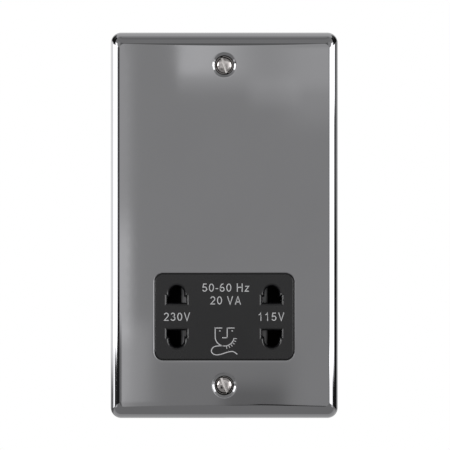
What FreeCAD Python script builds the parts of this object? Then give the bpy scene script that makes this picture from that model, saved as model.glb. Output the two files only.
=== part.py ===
import FreeCAD, Part

import math
import os

from FreeCAD import Vector

# A double-size shaver socket for a vertical wall box, in millimetres.
# X runs to the right as seen from the room, Y into the wall and Z up.
# The origin lies on the wall's surface, midway between the two fixing screws.

# Wall plate: one steel sheet pressed into a shallow pan
side_margin = 8.5
plate_depth = 7.5
plate_thickness = 1.0
plate_corner = 4.0
crease_corner = 0.7
side_roll = 5.25
end_roll = 6.81
rim_straight = 2.0
roll_steps = 9
face_crown = 0.15
crease_rise = 0.1
tab_thickness = 0.8
tab_length = 6.0
tab_reach = 2.6
tab_spacing = 52.0

# Fixing screws: raised countersunk, one slot, in dished holes
fixing_centres = 120.6
end_margin = 12.7
dish_radius = 4.55
dish_lip = 0.7
fixing_hole_radius = 2.0
screw_head_radius = 3.3
screw_head_rise = 0.9
screw_radius = 1.75
screw_neck_radius = 1.35
screw_neck_length = 1.45
screw_length = 25.0
screw_tip = 1.2
slot_width = 0.9
slot_depth = 1.25
upper_slot_lean = 19.0
lower_slot_lean = 23.0

# Black face moulding with the pin holes
insert_side_land = 3.65
insert_end_land = 3.6
insert_corner = 3.0
insert_edge = 0.3
insert_proud = 0.15
insert_depth = 4.25
insert_gap = 0.15
flange_lap = 2.0
flange_thickness = 2.0
outlet_spacing = 35.7
pin_hole_width = 5.5
pin_hole_end = 11.5
blade_hole_width = 7.1
blade_hole_start = 5.2
blade_hole_end = 7.5
lead_in_width = 0.95
lead_in_depth = 1.1

# Moulded liner inside the pan, and the foam ring on the wall side
liner_thickness = 2.0
liner_rim = 1.5
moulding_gap = 0.15
gasket_thickness = 1.2
gasket_width = 3.4
ledge_lap = 1.4
ledge_gap = 0.5
ledge_thickness = 1.2
ledge_length = 20.0

# Shutters, which a pin pushes towards the middle of the face
shutter_travel = 7.0
shutter_cover = 0.25
shutter_thickness = 6.0
shutter_land = 3.2
shutter_end_lap = 1.0
shutter_edge = 0.8
ramp_hollow = 0.5
slide_gap = 0.2
spring_radius = 1.5
spring_wire = 0.4
spring_turns = 6
spring_offset = 2.2
spring_pocket_depth = 3.0
spring_peg_length = 1.6
cam_run = 6.0
cam_margin = 0.25
cam_width = 2.6
cam_offset = -1.5
plunger_radius = 1.0
plunger_inset = 2.0
plunger_clearance = 0.1
plunger_guide = 2.5

# Moulding that holds the shutters and contacts
carrier_wall = 1.5
carrier_side_wall = 4.4
carrier_floor = 4.6
carrier_middle_wall = 2.0
well_gap = 0.25
cell_gap = 0.8

# Sprung contacts
contact_thickness = 0.5
contact_grip = 3.6
contact_mouth = 6.2
contact_mouth_length = 2.4
contact_width = 6.8
contact_bend = 0.8
contact_tail = 1.0

# Switches
switch_length = 12.8
switch_width = 4.0
switch_depth = 6.0
switch_rear_room = 3.4
switch_pin_radius = 0.35
switch_pin_spacing = 5.0

# Circuit board and the screws that clamp it to the carrier and the face moulding
board_thickness = 1.6
board_screw_radius = 1.1
board_screw_head = 2.0
board_screw_head_height = 1.3
board_screw_bite = 3.0
screw_play = 0.1
screw_end_room = 0.5
pin_play = 0.1

# Terminals and their block
terminal_spacing = 12.0
terminal_width = 8.0
terminal_depth = 9.6
terminal_height = 10.0
terminal_bore_radius = 1.6
terminal_bore_end = 1.0
terminal_bore_offset = 3.6
terminal_screw_radius = 1.5
terminal_screw_rise = 0.6
terminal_leg_radius = 0.6
block_wall = 1.0
block_rear_wall = 2.3
entry_margin = 0.5

# Earth strap from the earth terminal to the plate
strap_thickness = 0.5
strap_width = 5.0
strap_bend = 0.7
strap_foot = 4.0
strap_room = 2.4
strap_gap = 0.5

# Isolating transformer
core_height = 40.0
core_stack = 18.0
core_leg = 8.0
core_centre_leg = 16.0
core_top_room = 8.0
coil_front_gap = 1.75
bobbin_wall = 1.0
bobbin_gap = 0.2
bobbin_flange = 1.2
bobbin_corner = 0.3
winding_build = 5.7
winding_room = 0.9
tape_thickness = 0.3
tape_margin = 0.4
bobbin_pin_radius = 0.4
bobbin_pin_length = 5.0
bobbin_pin_spacing = 6.0
bobbin_pin_inset = 3.2
clamp_thickness = 1.0
clamp_lip = 3.0
clamp_foot_margin = 0.4
clamp_foot_width = 10.0
clamp_post_radius = 3.0
clamp_screw_radius = 1.4
clamp_screw_head = 2.6
clamp_screw_head_height = 1.8
clamp_screw_bite = 5.5
cutout_length = 9.0
cutout_width = 6.0
cutout_thickness = 1.2
cutout_leg_radius = 0.3
cutout_leg_length = 4.0
lead_radius = 0.6
lead_bend = 3.0
lead_inset = 1.8

# Rear housing and its screws
housing_wall = 2.0
housing_inner_corner = 1.0
housing_edge = 1.2
housing_column_radius = 3.6
housing_column_margin = 0.6
housing_column_gap = 0.45
housing_boss_radius = 3.0
housing_boss_end = 8.0
housing_screw_radius = 1.4
housing_screw_head = 2.6
housing_screw_head_height = 2.0
housing_screw_seat = 3.0
housing_screw_bite = 9.0
housing_head_play = 0.4
housing_side_gap = 0.5
housing_end_gap = 7.3
vent_count = 7
vent_width = 2.0
vent_length = 26.0
vent_pitch = 5.0
driver_hole_radius = 2.3

# Depths of the main layers, front to rear
face_y = -plate_depth
sheet_y = face_y + plate_thickness
liner_y = sheet_y + liner_thickness
insert_front_y = face_y - insert_proud
insert_rear_y = insert_front_y + insert_depth
flange_y = sheet_y + flange_thickness
shutter_front_y = insert_rear_y + slide_gap
shutter_rear_y = shutter_front_y + shutter_thickness
floor_y = shutter_rear_y + slide_gap
cell_y = floor_y + carrier_floor
board_y = cell_y + switch_depth + switch_rear_room
board_rear_y = board_y + board_thickness
terminal_y = board_rear_y + block_wall / 2
terminal_end_y = terminal_y + terminal_depth
core_window = 2 * bobbin_gap + bobbin_wall + winding_build + winding_room
leg_inner_x = core_centre_leg / 2 + core_window
core_width = 2 * (leg_inner_x + core_leg)
coil_half_depth = core_stack / 2 + bobbin_gap + bobbin_wall + winding_build + tape_thickness
core_centre_y = liner_y + coil_front_gap + coil_half_depth
coil_room = core_centre_y + coil_half_depth + cutout_thickness + moulding_gap
housing_inner_y = max(terminal_end_y + block_rear_wall, coil_room)
housing_depth = housing_inner_y + housing_wall

# Sizes and places across the face and through the layers, worked out from the driving sizes
outlet_x = outlet_spacing / 2
insert_width = outlet_spacing + blade_hole_width + 2 * (lead_in_width + insert_side_land)
insert_height = 2 * (pin_hole_end + lead_in_width + insert_end_land)
shutter_height = 2 * (pin_hole_end + shutter_end_lap)
shutter_outer_x = outlet_x + blade_hole_width / 2 + shutter_cover
shutter_ramp_x = outlet_x - blade_hole_width / 2
shutter_inner_x = shutter_ramp_x - shutter_land
chamber_half_width = shutter_outer_x + slide_gap
chamber_half_height = shutter_height / 2 + slide_gap
carrier_half_width = chamber_half_width + carrier_side_wall
carrier_half_height = chamber_half_height + carrier_wall
carrier_half_middle = carrier_middle_wall / 2
flange_lap_x = insert_width / 2 + insert_gap + flange_lap
flange_half_width = max(flange_lap_x, carrier_half_width + ledge_lap + ledge_gap)
flange_half_height = insert_height / 2 + insert_gap + flange_lap
well_width = blade_hole_width + 2 * well_gap
cell_width = contact_width + 2 * cell_gap
contact_z = (blade_hole_start + pin_hole_end) / 2
plunger_x = shutter_inner_x + plunger_inset
cam_depth = shutter_travel / cam_run + cam_margin
board_screw_x = chamber_half_width + carrier_side_wall / 2
board_screw_z = carrier_half_height - carrier_side_wall / 2
fixing_z = fixing_centres / 2
plate_height = fixing_centres + 2 * end_margin
housing_height = fixing_centres - 2 * housing_end_gap
housing_bottom_z = housing_wall - housing_height / 2
housing_corner = housing_inner_corner + housing_wall
housing_counterbore = housing_screw_head + housing_head_play
insert_z = housing_bottom_z + strap_room + carrier_half_height
clamp_foot_length = 2 * (clamp_screw_head + clamp_foot_margin)
clamp_reach = core_width / 2 + clamp_thickness + clamp_foot_length
column_inset = housing_column_radius + housing_column_margin
column_reach = carrier_half_width + housing_column_gap + housing_column_radius + column_inset
housing_width = 2 * max(column_reach, clamp_reach + housing_side_gap + housing_wall)
column_x = housing_width / 2 - column_inset
column_z = housing_height / 2 - column_inset
plate_width = housing_width + 2 * side_margin
core_top = housing_height / 2 - housing_wall - core_top_room - clamp_thickness
core_centre_z = core_top - core_height / 2
strap_z = housing_bottom_z + block_wall
terminal_z = strap_z + strap_thickness
terminal_bore_depth = terminal_height - terminal_bore_end
entry_radius = terminal_bore_radius + entry_margin
block_half_width = terminal_spacing + terminal_width / 2 + moulding_gap + block_wall
window_half_height = core_height / 2 - core_leg
tube_corner = bobbin_corner + bobbin_wall


def box(x0, x1, y0, y1, z0, z1):
    """A block between two corners."""
    return Part.makeBox(x1 - x0, y1 - y0, z1 - z0, Vector(x0, y0, z0))


def rod(x, z, y0, y1, radius):
    """A round bar or bore along Y."""
    return Part.makeCylinder(radius, y1 - y0, Vector(x, y0, z), Vector(0, 1, 0))


def upright_rod(x, y, z0, z1, radius):
    """A round bar or bore along Z."""
    return Part.makeCylinder(radius, z1 - z0, Vector(x, y, z0), Vector(0, 0, 1))


def cone(x, z, y0, y1, radius0, radius1):
    """A taper along Y."""
    return Part.makeCone(radius0, radius1, y1 - y0, Vector(x, y0, z), Vector(0, 1, 0))


def line(a, b):
    """A straight edge."""
    return Part.LineSegment(a, b).toShape()


def arc(a, middle, b):
    """A round edge through three points."""
    return Part.Arc(a, middle, b).toShape()


def rounded_outline(x, z, width, height, radius, y):
    """A rectangle with round corners, facing the room, at one depth."""
    half_width = width / 2 - radius
    half_height = height / 2 - radius
    edges = []
    for turn in range(4):
        sign_x = (1, -1, -1, 1)[turn]
        sign_z = (1, 1, -1, -1)[turn]
        centre = Vector(x + sign_x * half_width, y, z + sign_z * half_height)
        start_angle = math.radians(90 * turn)
        points = []
        for step in range(3):
            angle = start_angle + math.radians(45 * step)
            points.append(centre + Vector(math.cos(angle), 0, math.sin(angle)) * radius)
        if edges:
            edges.append(line(last_point, points[0]))
        else:
            first_point = points[0]
        edges.append(arc(*points))
        last_point = points[2]
    edges.append(line(last_point, first_point))
    return Part.Wire(edges)


def rounded_block(x, z, width, height, radius, y0, y1):
    """A block with round corners as seen from the room."""
    outline = rounded_outline(x, z, width, height, radius, y0)
    return Part.Face(outline).extrude(Vector(0, y1 - y0, 0))


def side_profile(points, z0, z1):
    """A shape drawn in X and Y, as high as from z0 to z1."""
    corners = [Vector(x, y, z0) for x, y in points]
    outline = Part.makePolygon(corners + corners[:1])
    return Part.Face(outline).extrude(Vector(0, 0, z1 - z0))


def rounded_path(points, bend):
    """Straight runs joined by tangent arcs of one bend radius."""
    edges = []
    start = points[0]
    for index in range(1, len(points) - 1):
        corner = points[index]
        arrive = (corner - points[index - 1]).normalize()
        leave = (points[index + 1] - corner).normalize()
        turn = arrive.getAngle(leave)
        setback = bend * math.tan(turn / 2)
        first = corner - arrive * setback
        second = corner + leave * setback
        inward = (leave - arrive).normalize()
        centre = corner + inward * (bend / math.cos(turn / 2))
        edges.append(line(start, first))
        edges.append(arc(first, centre - inward * bend, second))
        start = second
    edges.append(line(start, points[-1]))
    return Part.Wire(edges)


def round_wire(points, radius, bend):
    """A wire of round section along a bent route."""
    path = rounded_path(points, bend)
    start_direction = points[1] - points[0]
    section = Part.Wire(Part.makeCircle(radius, points[0], start_direction))
    return path.makePipeShell([section], True, False)


def folded_strip(points, thickness, width, bend, across):
    """A strip of sheet metal folded along a route, its width lying along one axis."""
    path = rounded_path(points, bend)
    start = points[0]
    direction = (points[1] - start).normalize()
    side = across * (width / 2)
    normal = direction.cross(across) * (thickness / 2)
    corners = [start + side + normal, start + side - normal, start - side - normal, start - side + normal]
    section = Part.makePolygon(corners + corners[:1])
    return path.makePipeShell([section], True, False)


def mirrored(shape):
    """The same piece on the other side of the plate's upright middle line."""
    return shape.mirror(Vector(0, 0, 0), Vector(1, 0, 0))


def joined(shapes):
    """One solid made of several that meet."""
    return shapes[0].fuse(shapes[1:]).removeSplitter()


def group(shapes):
    """Several separate solids of one kind."""
    return Part.makeCompound(shapes)


def pan(inset, front, crease_gap):
    """The pan's outer form, smaller by an inset: an upright rim, then edges that roll to the front."""
    side_run = side_roll + crease_gap - inset
    end_run = end_roll + crease_gap - inset
    sections = []
    for step in range(roll_steps + 1):
        angle = math.radians(90 * step / roll_steps)
        share = 1 - math.cos(angle)
        width = plate_width - 2 * inset - 2 * side_run * share
        height = plate_height - 2 * inset - 2 * end_run * share
        corner = (plate_corner - inset) * (1 - share) + crease_corner * share
        depth = rim_straight + (front - rim_straight) * math.sin(angle)
        sections.append(rounded_outline(0, 0, width, height, corner, -depth))
    roll = Part.makeLoft(sections, True, False)
    rim = Part.Face(sections[0]).extrude(Vector(0, rim_straight, 0))
    return roll.fuse(rim)


def tab_places():
    """Places of the tongues that fold over the liner's rim: side, and height on the plate."""
    return [(side, z) for side in (-1, 1) for z in (-tab_spacing, 0, tab_spacing)]


def tab_block(side, z, clearance):
    """One tongue, or the notch for it."""
    outer = plate_width / 2 - plate_thickness
    inner = outer - tab_reach - clearance
    rear = -gasket_thickness
    front = rear - tab_thickness - clearance
    half = tab_length / 2 + clearance
    if side > 0:
        return box(inner, outer, front, rear, z - half, z + half)
    return box(-outer, -inner, front, rear, z - half, z + half)


def front_plate():
    """Pressed steel pan, its face crowned from side to side, with a window and two dished holes."""
    half_width = plate_width / 2 - side_roll
    crown_radius = half_width**2 / (2 * face_crown)
    crown = upright_rod(0, face_y + crown_radius, -plate_height, plate_height, crown_radius)
    outer = pan(0, plate_depth + crease_rise, 0).common(crown)
    inner = pan(plate_thickness, plate_depth - plate_thickness, 0)
    plate = outer.cut(inner)
    wall = plate_thickness * math.sqrt(2)
    funnel_end_y = face_y + dish_radius - fixing_hole_radius
    cup_end_y = funnel_end_y + dish_lip
    for z in (-fixing_z, fixing_z):
        cup_start = dish_radius - plate_thickness + wall
        cup_end = dish_radius - (cup_end_y - face_y) + wall
        plate = plate.fuse(cone(0, z, sheet_y, cup_end_y, cup_start, cup_end))
    for z in (-fixing_z, fixing_z):
        over = plate_thickness
        plate = plate.cut(cone(0, z, face_y - over, funnel_end_y, dish_radius + over, fixing_hole_radius))
        plate = plate.cut(rod(0, z, face_y, cup_end_y + over, fixing_hole_radius))
    window_width = insert_width + 2 * insert_gap
    window_height = insert_height + 2 * insert_gap
    window_corner = insert_corner + insert_gap
    window = rounded_block(
        0, insert_z, window_width, window_height, window_corner, face_y - over, sheet_y + over
    )
    plate = plate.cut(window)
    tabs = [tab_block(side, z, 0) for side, z in tab_places()]
    return plate.fuse(tabs).removeSplitter()


def plate_liner():
    """Moulded tray that fills the pan and carries the insert, the transformer and the housing."""
    inset = plate_thickness + moulding_gap
    tray = pan(inset, -sheet_y, moulding_gap)
    hollow_width = plate_width - 2 * inset - 2 * liner_rim
    hollow_height = plate_height - 2 * inset - 2 * liner_rim
    hollow_corner = max(plate_corner - inset - liner_rim, liner_rim / 2)
    tray = tray.cut(rounded_block(0, 0, hollow_width, hollow_height, hollow_corner, liner_y, 0))
    tray = tray.cut(box(-plate_width, plate_width, -gasket_thickness, 0, -plate_height, plate_height))
    ledge_outer = flange_half_width + ledge_lap
    for side in (-1, 1):
        middle = side * flange_half_width
        tray = tray.fuse(
            box(
                middle - ledge_lap,
                middle + ledge_lap,
                flange_y,
                flange_y + ledge_thickness,
                insert_z - ledge_length / 2,
                insert_z + ledge_length / 2,
            )
        )
        foot_x = side * (core_width / 2 + clamp_thickness + clamp_foot_length / 2)
        clamp_front_y = core_centre_y - core_stack / 2 - clamp_thickness
        tray = tray.fuse(rod(foot_x, core_centre_z, liner_y, clamp_front_y, clamp_post_radius))
        post_bore = clamp_screw_radius + screw_play
        post_bore_y = clamp_front_y - clamp_screw_bite - screw_end_room
        tray = tray.cut(rod(foot_x, core_centre_z, post_bore_y, clamp_front_y, post_bore))
        for z in (-column_z, column_z):
            tray = tray.fuse(rod(side * column_x, z, liner_y, housing_boss_end, housing_boss_radius))
            boss_bore = housing_screw_radius + screw_play
            boss_bore_y = housing_boss_end - housing_screw_bite - screw_end_room
            tray = tray.cut(rod(side * column_x, z, boss_bore_y, housing_boss_end, boss_bore))
    window = box(
        -flange_half_width - moulding_gap,
        flange_half_width + moulding_gap,
        sheet_y,
        flange_y,
        insert_z - flange_half_height - moulding_gap,
        insert_z + flange_half_height + moulding_gap,
    )
    tray = tray.cut(window)
    cup_room = dish_radius + plate_thickness + 2 * moulding_gap
    for z in (-fixing_z, fixing_z):
        tray = tray.cut(rod(0, z, sheet_y, liner_y, cup_room))
    strap_slot = box(
        terminal_spacing - strap_width / 2 - strap_gap,
        terminal_spacing + strap_width / 2 + strap_gap,
        sheet_y,
        liner_y,
        strap_foot_z() - strap_foot - strap_gap,
        strap_foot_z() + strap_thickness + strap_bend,
    )
    tray = tray.cut(strap_slot)
    for side, z in tab_places():
        tray = tray.cut(tab_block(side, z, moulding_gap))
    return tray.removeSplitter()


def wall_gasket():
    """Foam ring inside the pan's rim, which seals it to the wall."""
    inset = plate_thickness + moulding_gap
    width = plate_width - 2 * inset
    height = plate_height - 2 * inset
    corner = plate_corner - inset
    ring = rounded_block(0, 0, width, height, corner, -gasket_thickness, 0)
    hole = rounded_block(
        0, 0, width - 2 * gasket_width, height - 2 * gasket_width, corner / 2, -gasket_thickness, 0
    )
    return ring.cut(hole)


def fixing_screw(z, lean):
    """One raised countersunk screw, its slot turned by an angle from upright."""
    edge_y = face_y + dish_radius - screw_head_radius
    neck_y = edge_y + screw_head_radius - screw_neck_radius
    thread_y = neck_y + screw_neck_length
    end_y = edge_y + screw_length
    dome_radius = (screw_head_radius**2 + screw_head_rise**2) / (2 * screw_head_rise)
    dome_ball = Part.makeSphere(dome_radius, Vector(0, edge_y - screw_head_rise + dome_radius, z))
    dome = rod(0, z, edge_y - screw_head_rise, edge_y, screw_head_radius).common(dome_ball)
    head = cone(0, z, edge_y, neck_y, screw_head_radius, screw_neck_radius)
    neck = rod(0, z, neck_y, thread_y, screw_neck_radius)
    shank = rod(0, z, thread_y, end_y - screw_tip, screw_radius)
    tip = cone(0, z, end_y - screw_tip, end_y, screw_radius, screw_radius - screw_tip / 2)
    screw = joined([dome, head, neck, shank, tip])
    slot_y = edge_y - screw_head_rise
    slot = box(
        -slot_width / 2,
        slot_width / 2,
        slot_y,
        slot_y + slot_depth,
        z - 2 * screw_head_radius,
        z + 2 * screw_head_radius,
    )
    slot.rotate(Vector(0, 0, z), Vector(0, 1, 0), -lean)
    return screw.cut(slot)


def fixing_screws():
    """The two screws that hold the plate to the wall box."""
    return group([fixing_screw(fixing_z, upper_slot_lean), fixing_screw(-fixing_z, lower_slot_lean)])


def blade_outline(x, way, y, grow):
    """The inner end of a pin hole, for flat blades, at one depth."""
    half = blade_hole_width / 2 + grow
    start = insert_z + way * (blade_hole_start - grow)
    end = insert_z + way * (blade_hole_end + grow)
    corners = [(x - half, start), (x + half, start), (x + half, end), (x - half, end)]
    return Part.makePolygon([Vector(px, y, pz) for px, pz in corners + corners[:1]])


def pin_outline(x, way, y, grow):
    """The domed slot of a pin hole, for round pins, at one depth."""
    half = pin_hole_width / 2 + grow
    start = insert_z + way * (blade_hole_start - grow)
    dome = insert_z + way * (pin_hole_end - pin_hole_width / 2)
    first = Vector(x - half, y, dome)
    second = Vector(x - half, y, start)
    third = Vector(x + half, y, start)
    last = Vector(x + half, y, dome)
    tip = Vector(x, y, dome + way * half)
    return Part.Wire([line(first, second), line(second, third), line(third, last), arc(last, tip, first)])


def pin_hole(x, way):
    """The space of one pin hole with its lead-in."""
    spaces = []
    for outline in (blade_outline, pin_outline):
        shaft = Part.Face(outline(x, way, insert_front_y, 0))
        spaces.append(shaft.extrude(Vector(0, insert_depth, 0)))
        mouth = outline(x, way, insert_front_y, lead_in_width)
        throat = outline(x, way, insert_front_y + lead_in_depth, 0)
        spaces.append(Part.makeLoft([mouth, throat], True, True))
    return joined(spaces)


def outlet_holes():
    """Side and direction of the four pin holes."""
    return [(side, way) for side in (-1, 1) for way in (-1, 1)]


def socket_insert():
    """Black face moulding: a raised panel, a flange behind the plate, and a block for the holes."""
    panel = rounded_block(
        0, insert_z, insert_width, insert_height, insert_corner, insert_front_y, sheet_y
    )
    front_edges = [edge for edge in panel.Edges if edge.BoundBox.YMax < face_y]
    panel = panel.makeFillet(insert_edge, front_edges)
    flange = box(
        -flange_half_width,
        flange_half_width,
        sheet_y,
        flange_y,
        insert_z - flange_half_height,
        insert_z + flange_half_height,
    )
    guide = box(
        -carrier_half_width,
        carrier_half_width,
        flange_y,
        insert_rear_y,
        insert_z - carrier_half_height,
        insert_z + carrier_half_height,
    )
    insert = joined([panel, flange, guide])
    for side, way in outlet_holes():
        insert = insert.cut(pin_hole(side * outlet_x, way))
    bore_radius = board_screw_radius + screw_play
    for x, z in board_screw_places():
        insert = insert.cut(rod(x, z, insert_rear_y - board_screw_bite, insert_rear_y, bore_radius))
    return insert


def board_screw_places():
    """Corners where a long screw goes through board and carrier into the face moulding."""
    return [
        (side * board_screw_x, insert_z + way * board_screw_z) for side in (-1, 1) for way in (-1, 1)
    ]


def shutter():
    """The left shutter: ramps for the pins, a pocket for its spring and a cam for its switch."""
    outer = -shutter_outer_x
    ramp = -shutter_ramp_x
    inner = -shutter_inner_x
    half_height = shutter_height / 2
    body = box(
        outer, inner, shutter_front_y, shutter_rear_y, insert_z - half_height, insert_z + half_height
    )
    low = Vector(outer, shutter_rear_y - shutter_edge, 0)
    high = Vector(ramp, shutter_front_y, 0)
    along = (high - low).normalize()
    hollow = Vector(-along.y, along.x, 0)
    middle = (low + high) / 2 + hollow * ramp_hollow
    beyond = Vector(outer, shutter_front_y, 0)
    space = Part.Wire([arc(low, middle, high), line(high, beyond), line(beyond, low)])
    for way in (-1, 1):
        start = blade_hole_start - lead_in_width
        bottom = insert_z + min(way * start, way * half_height)
        face = Part.Face(space)
        face.translate(Vector(0, 0, bottom))
        body = body.cut(face.extrude(Vector(0, 0, half_height - start)))
    pocket_radius = spring_radius + slide_gap
    spring_y = (shutter_front_y + shutter_rear_y) / 2
    pocket = Part.makeCylinder(
        pocket_radius,
        spring_pocket_depth,
        Vector(inner - spring_pocket_depth, spring_y, insert_z + spring_offset),
        Vector(1, 0, 0),
    )
    body = body.cut(pocket)
    plunger = -plunger_x
    cam_y = shutter_rear_y - cam_depth
    cam_start = plunger - shutter_travel - plunger_radius
    cam_end = plunger + plunger_radius
    groove = side_profile(
        [
            (cam_start, cam_y + (plunger - cam_start) / cam_run),
            (cam_end, cam_y + (plunger - cam_end) / cam_run),
            (cam_end, shutter_rear_y + cam_margin),
            (cam_start, shutter_rear_y + cam_margin),
        ],
        insert_z + cam_offset - cam_width / 2,
        insert_z + cam_offset + cam_width / 2,
    )
    return body.cut(groove)


def shutter_spring():
    """Coil spring of the left shutter, from the carrier's middle wall into the shutter's pocket."""
    start = -shutter_inner_x - spring_pocket_depth + spring_wire
    end = -carrier_half_middle - spring_wire
    length = end - start
    coil_radius = spring_radius - spring_wire / 2
    helix = Part.makeHelix(length / spring_turns, length, coil_radius)
    section = Part.Wire(Part.makeCircle(spring_wire / 2, Vector(coil_radius, 0, 0), Vector(0, 1, 0)))
    coil = Part.Wire(helix.Edges).makePipeShell([section], True, True)
    coil.rotate(Vector(0, 0, 0), Vector(0, 1, 0), 90)
    spring_y = (shutter_front_y + shutter_rear_y) / 2
    coil.translate(Vector(start, spring_y, insert_z + spring_offset))
    return coil


def cell_spans():
    """Height spans of the contact cells and the switch cell between them, from the outlets' middle."""
    half = cell_width / 2
    upper = (contact_z - half, contact_z + half)
    lower = (-contact_z - half, -contact_z + half)
    return upper, lower


def contact_carrier():
    """Moulding behind the face: shutter chamber in front, a floor with pin wells, cells behind."""
    carrier = box(
        -carrier_half_width,
        carrier_half_width,
        insert_rear_y,
        board_y,
        insert_z - carrier_half_height,
        insert_z + carrier_half_height,
    )
    bottom = insert_z - chamber_half_height
    top = insert_z + chamber_half_height
    upper, lower = cell_spans()
    spring_y = (shutter_front_y + shutter_rear_y) / 2
    for side in (-1, 1):
        near = side * carrier_half_middle
        far = side * chamber_half_width
        left = min(near, far)
        right = max(near, far)
        carrier = carrier.cut(box(left, right, insert_rear_y, floor_y, bottom, top))
        low_cell = box(left, right, cell_y, board_y, insert_z + lower[0], insert_z + lower[1])
        carrier = carrier.cut(low_cell)
        switch_bottom = insert_z + cam_offset - switch_width / 2 - slide_gap
        switch_top = insert_z + cam_offset + switch_width / 2 + slide_gap
        switch_half = switch_length / 2 + slide_gap
        middle = side * plunger_x
        carrier = carrier.cut(
            box(middle - switch_half, middle + switch_half, cell_y, board_y, switch_bottom, switch_top)
        )
        plunger_bore = plunger_radius + slide_gap
        carrier = carrier.cut(rod(middle, insert_z + cam_offset, floor_y, cell_y, plunger_bore))
        peg = Part.makeCylinder(
            spring_radius - spring_wire - slide_gap,
            spring_peg_length,
            Vector(near, spring_y, insert_z + spring_offset),
            Vector(side, 0, 0),
        )
        carrier = carrier.fuse(peg)
    cell_end = chamber_half_width
    high_cell = box(-cell_end, cell_end, cell_y, board_y, insert_z + upper[0], insert_z + upper[1])
    carrier = carrier.cut(high_cell)
    well_start = blade_hole_start - slide_gap
    well_end = pin_hole_end + slide_gap
    for side, way in outlet_holes():
        middle = side * outlet_x
        low = insert_z + min(way * well_start, way * well_end)
        high = insert_z + max(way * well_start, way * well_end)
        carrier = carrier.cut(
            box(middle - well_width / 2, middle + well_width / 2, floor_y, cell_y, low, high)
        )
    for x, z in board_screw_places():
        carrier = carrier.cut(rod(x, z, insert_rear_y, board_y, board_screw_radius + screw_play))
    return carrier.removeSplitter()


def contact_clip(x, way):
    """A folded clip: two leaves that grip a pin from left and right, joined at the rear."""
    rear_y = board_y - moulding_gap - contact_thickness / 2
    mouth_y = cell_y + slide_gap
    leaf_x = contact_grip / 2 + contact_thickness / 2
    mouth_x = contact_mouth / 2
    waist_y = mouth_y + contact_mouth_length
    z = insert_z + way * contact_z
    points = [
        Vector(x - mouth_x, mouth_y, z),
        Vector(x - leaf_x, waist_y, z),
        Vector(x - leaf_x, rear_y, z),
        Vector(x + leaf_x, rear_y, z),
        Vector(x + leaf_x, waist_y, z),
        Vector(x + mouth_x, mouth_y, z),
    ]
    return folded_strip(points, contact_thickness, contact_width, contact_bend, Vector(0, 0, 1))


def contact_tail_piece(x, way):
    """The leg of a contact that is soldered in the board."""
    half = contact_tail / 2
    z = insert_z + way * contact_z
    front_y = board_y - moulding_gap - contact_thickness / 2
    return box(x - half, x + half, front_y, board_rear_y + contact_tail, z - half, z + half)


def contact(side):
    """Lower contact of one outlet."""
    x = side * outlet_x
    return joined([contact_clip(x, -1), contact_tail_piece(x, -1)])


def common_contact():
    """Upper contact, shared by both outlets: two clips on one strip."""
    rear_y = board_y - moulding_gap
    z = insert_z + contact_z
    half = contact_width / 2
    reach = outlet_x - contact_grip / 2
    strip = box(-reach, reach, rear_y - contact_thickness, rear_y, z - half, z + half)
    clips = [contact_clip(-outlet_x, 1), contact_clip(outlet_x, 1)]
    return joined(clips + [strip, contact_tail_piece(0, 1)])


def switch_body(side):
    """Sealed switch with a guide hole for its plunger."""
    middle = side * plunger_x
    z = insert_z + cam_offset
    front_y = cell_y
    half = switch_length / 2
    body = box(
        middle - half,
        middle + half,
        front_y,
        front_y + switch_depth,
        z - switch_width / 2,
        z + switch_width / 2,
    )
    travel = shutter_travel / cam_run
    depth = plunger_seat() - front_y + travel + slide_gap
    return body.cut(rod(middle, z, front_y, front_y + depth, plunger_radius + slide_gap))


def plunger_seat():
    """Depth that the plunger's inner end reaches at rest."""
    return cell_y + plunger_guide


def switch_plunger(side):
    """Round-nosed plunger that rests in the shutter's cam groove."""
    slope = math.atan(1 / cam_run)
    x = side * plunger_x
    z = insert_z + cam_offset
    cam_y = shutter_rear_y - cam_depth
    nose_y = cam_y + (plunger_radius + plunger_clearance) / math.cos(slope)
    nose = Part.makeSphere(plunger_radius, Vector(x, nose_y, z))
    return joined([nose, rod(x, z, nose_y, plunger_seat(), plunger_radius)])


def switch_pin_places():
    """Places of the switches' soldered pins."""
    z = insert_z + cam_offset
    places = []
    for side in (-1, 1):
        for step in (-1, 0, 1):
            places.append((side * plunger_x + step * switch_pin_spacing, z))
    return places


def switch_pins():
    """Pins of both switches, down through the board."""
    front_y = cell_y + switch_depth
    end_y = board_rear_y + contact_tail
    return group([rod(x, z, front_y, end_y, switch_pin_radius) for x, z in switch_pin_places()])


def terminal_places():
    """Middle of each terminal across the block: live, neutral, earth."""
    return [-terminal_spacing, 0, terminal_spacing]


def lead_places():
    """Across the board: where each wire from the transformer ends."""
    return [step * bobbin_pin_spacing for step in (-2, -1, 0, 1, 2)]


def lead_board_z():
    """Height on the board where the wires end."""
    return insert_z + carrier_half_height - lead_inset


def circuit_board():
    """Board behind the carrier, drilled for screws, contacts, switches, terminals and wires."""
    board = box(
        -carrier_half_width,
        carrier_half_width,
        board_y,
        board_rear_y,
        insert_z - carrier_half_height,
        insert_z + carrier_half_height,
    )
    holes = []
    for x, z in board_screw_places():
        holes.append(rod(x, z, board_y, board_rear_y, board_screw_radius + screw_play))
    for x, z in switch_pin_places():
        holes.append(rod(x, z, board_y, board_rear_y, switch_pin_radius + pin_play))
    tail_radius = contact_tail * math.sqrt(0.5) + pin_play
    for x, way in ((-outlet_x, -1), (outlet_x, -1), (0, 1)):
        holes.append(rod(x, insert_z + way * contact_z, board_y, board_rear_y, tail_radius))
    leg_z = terminal_z + terminal_height / 2
    for x in terminal_places()[:2]:
        holes.append(rod(x, leg_z, board_y, board_rear_y, terminal_leg_radius + pin_play))
    return board.cut(holes)


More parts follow.
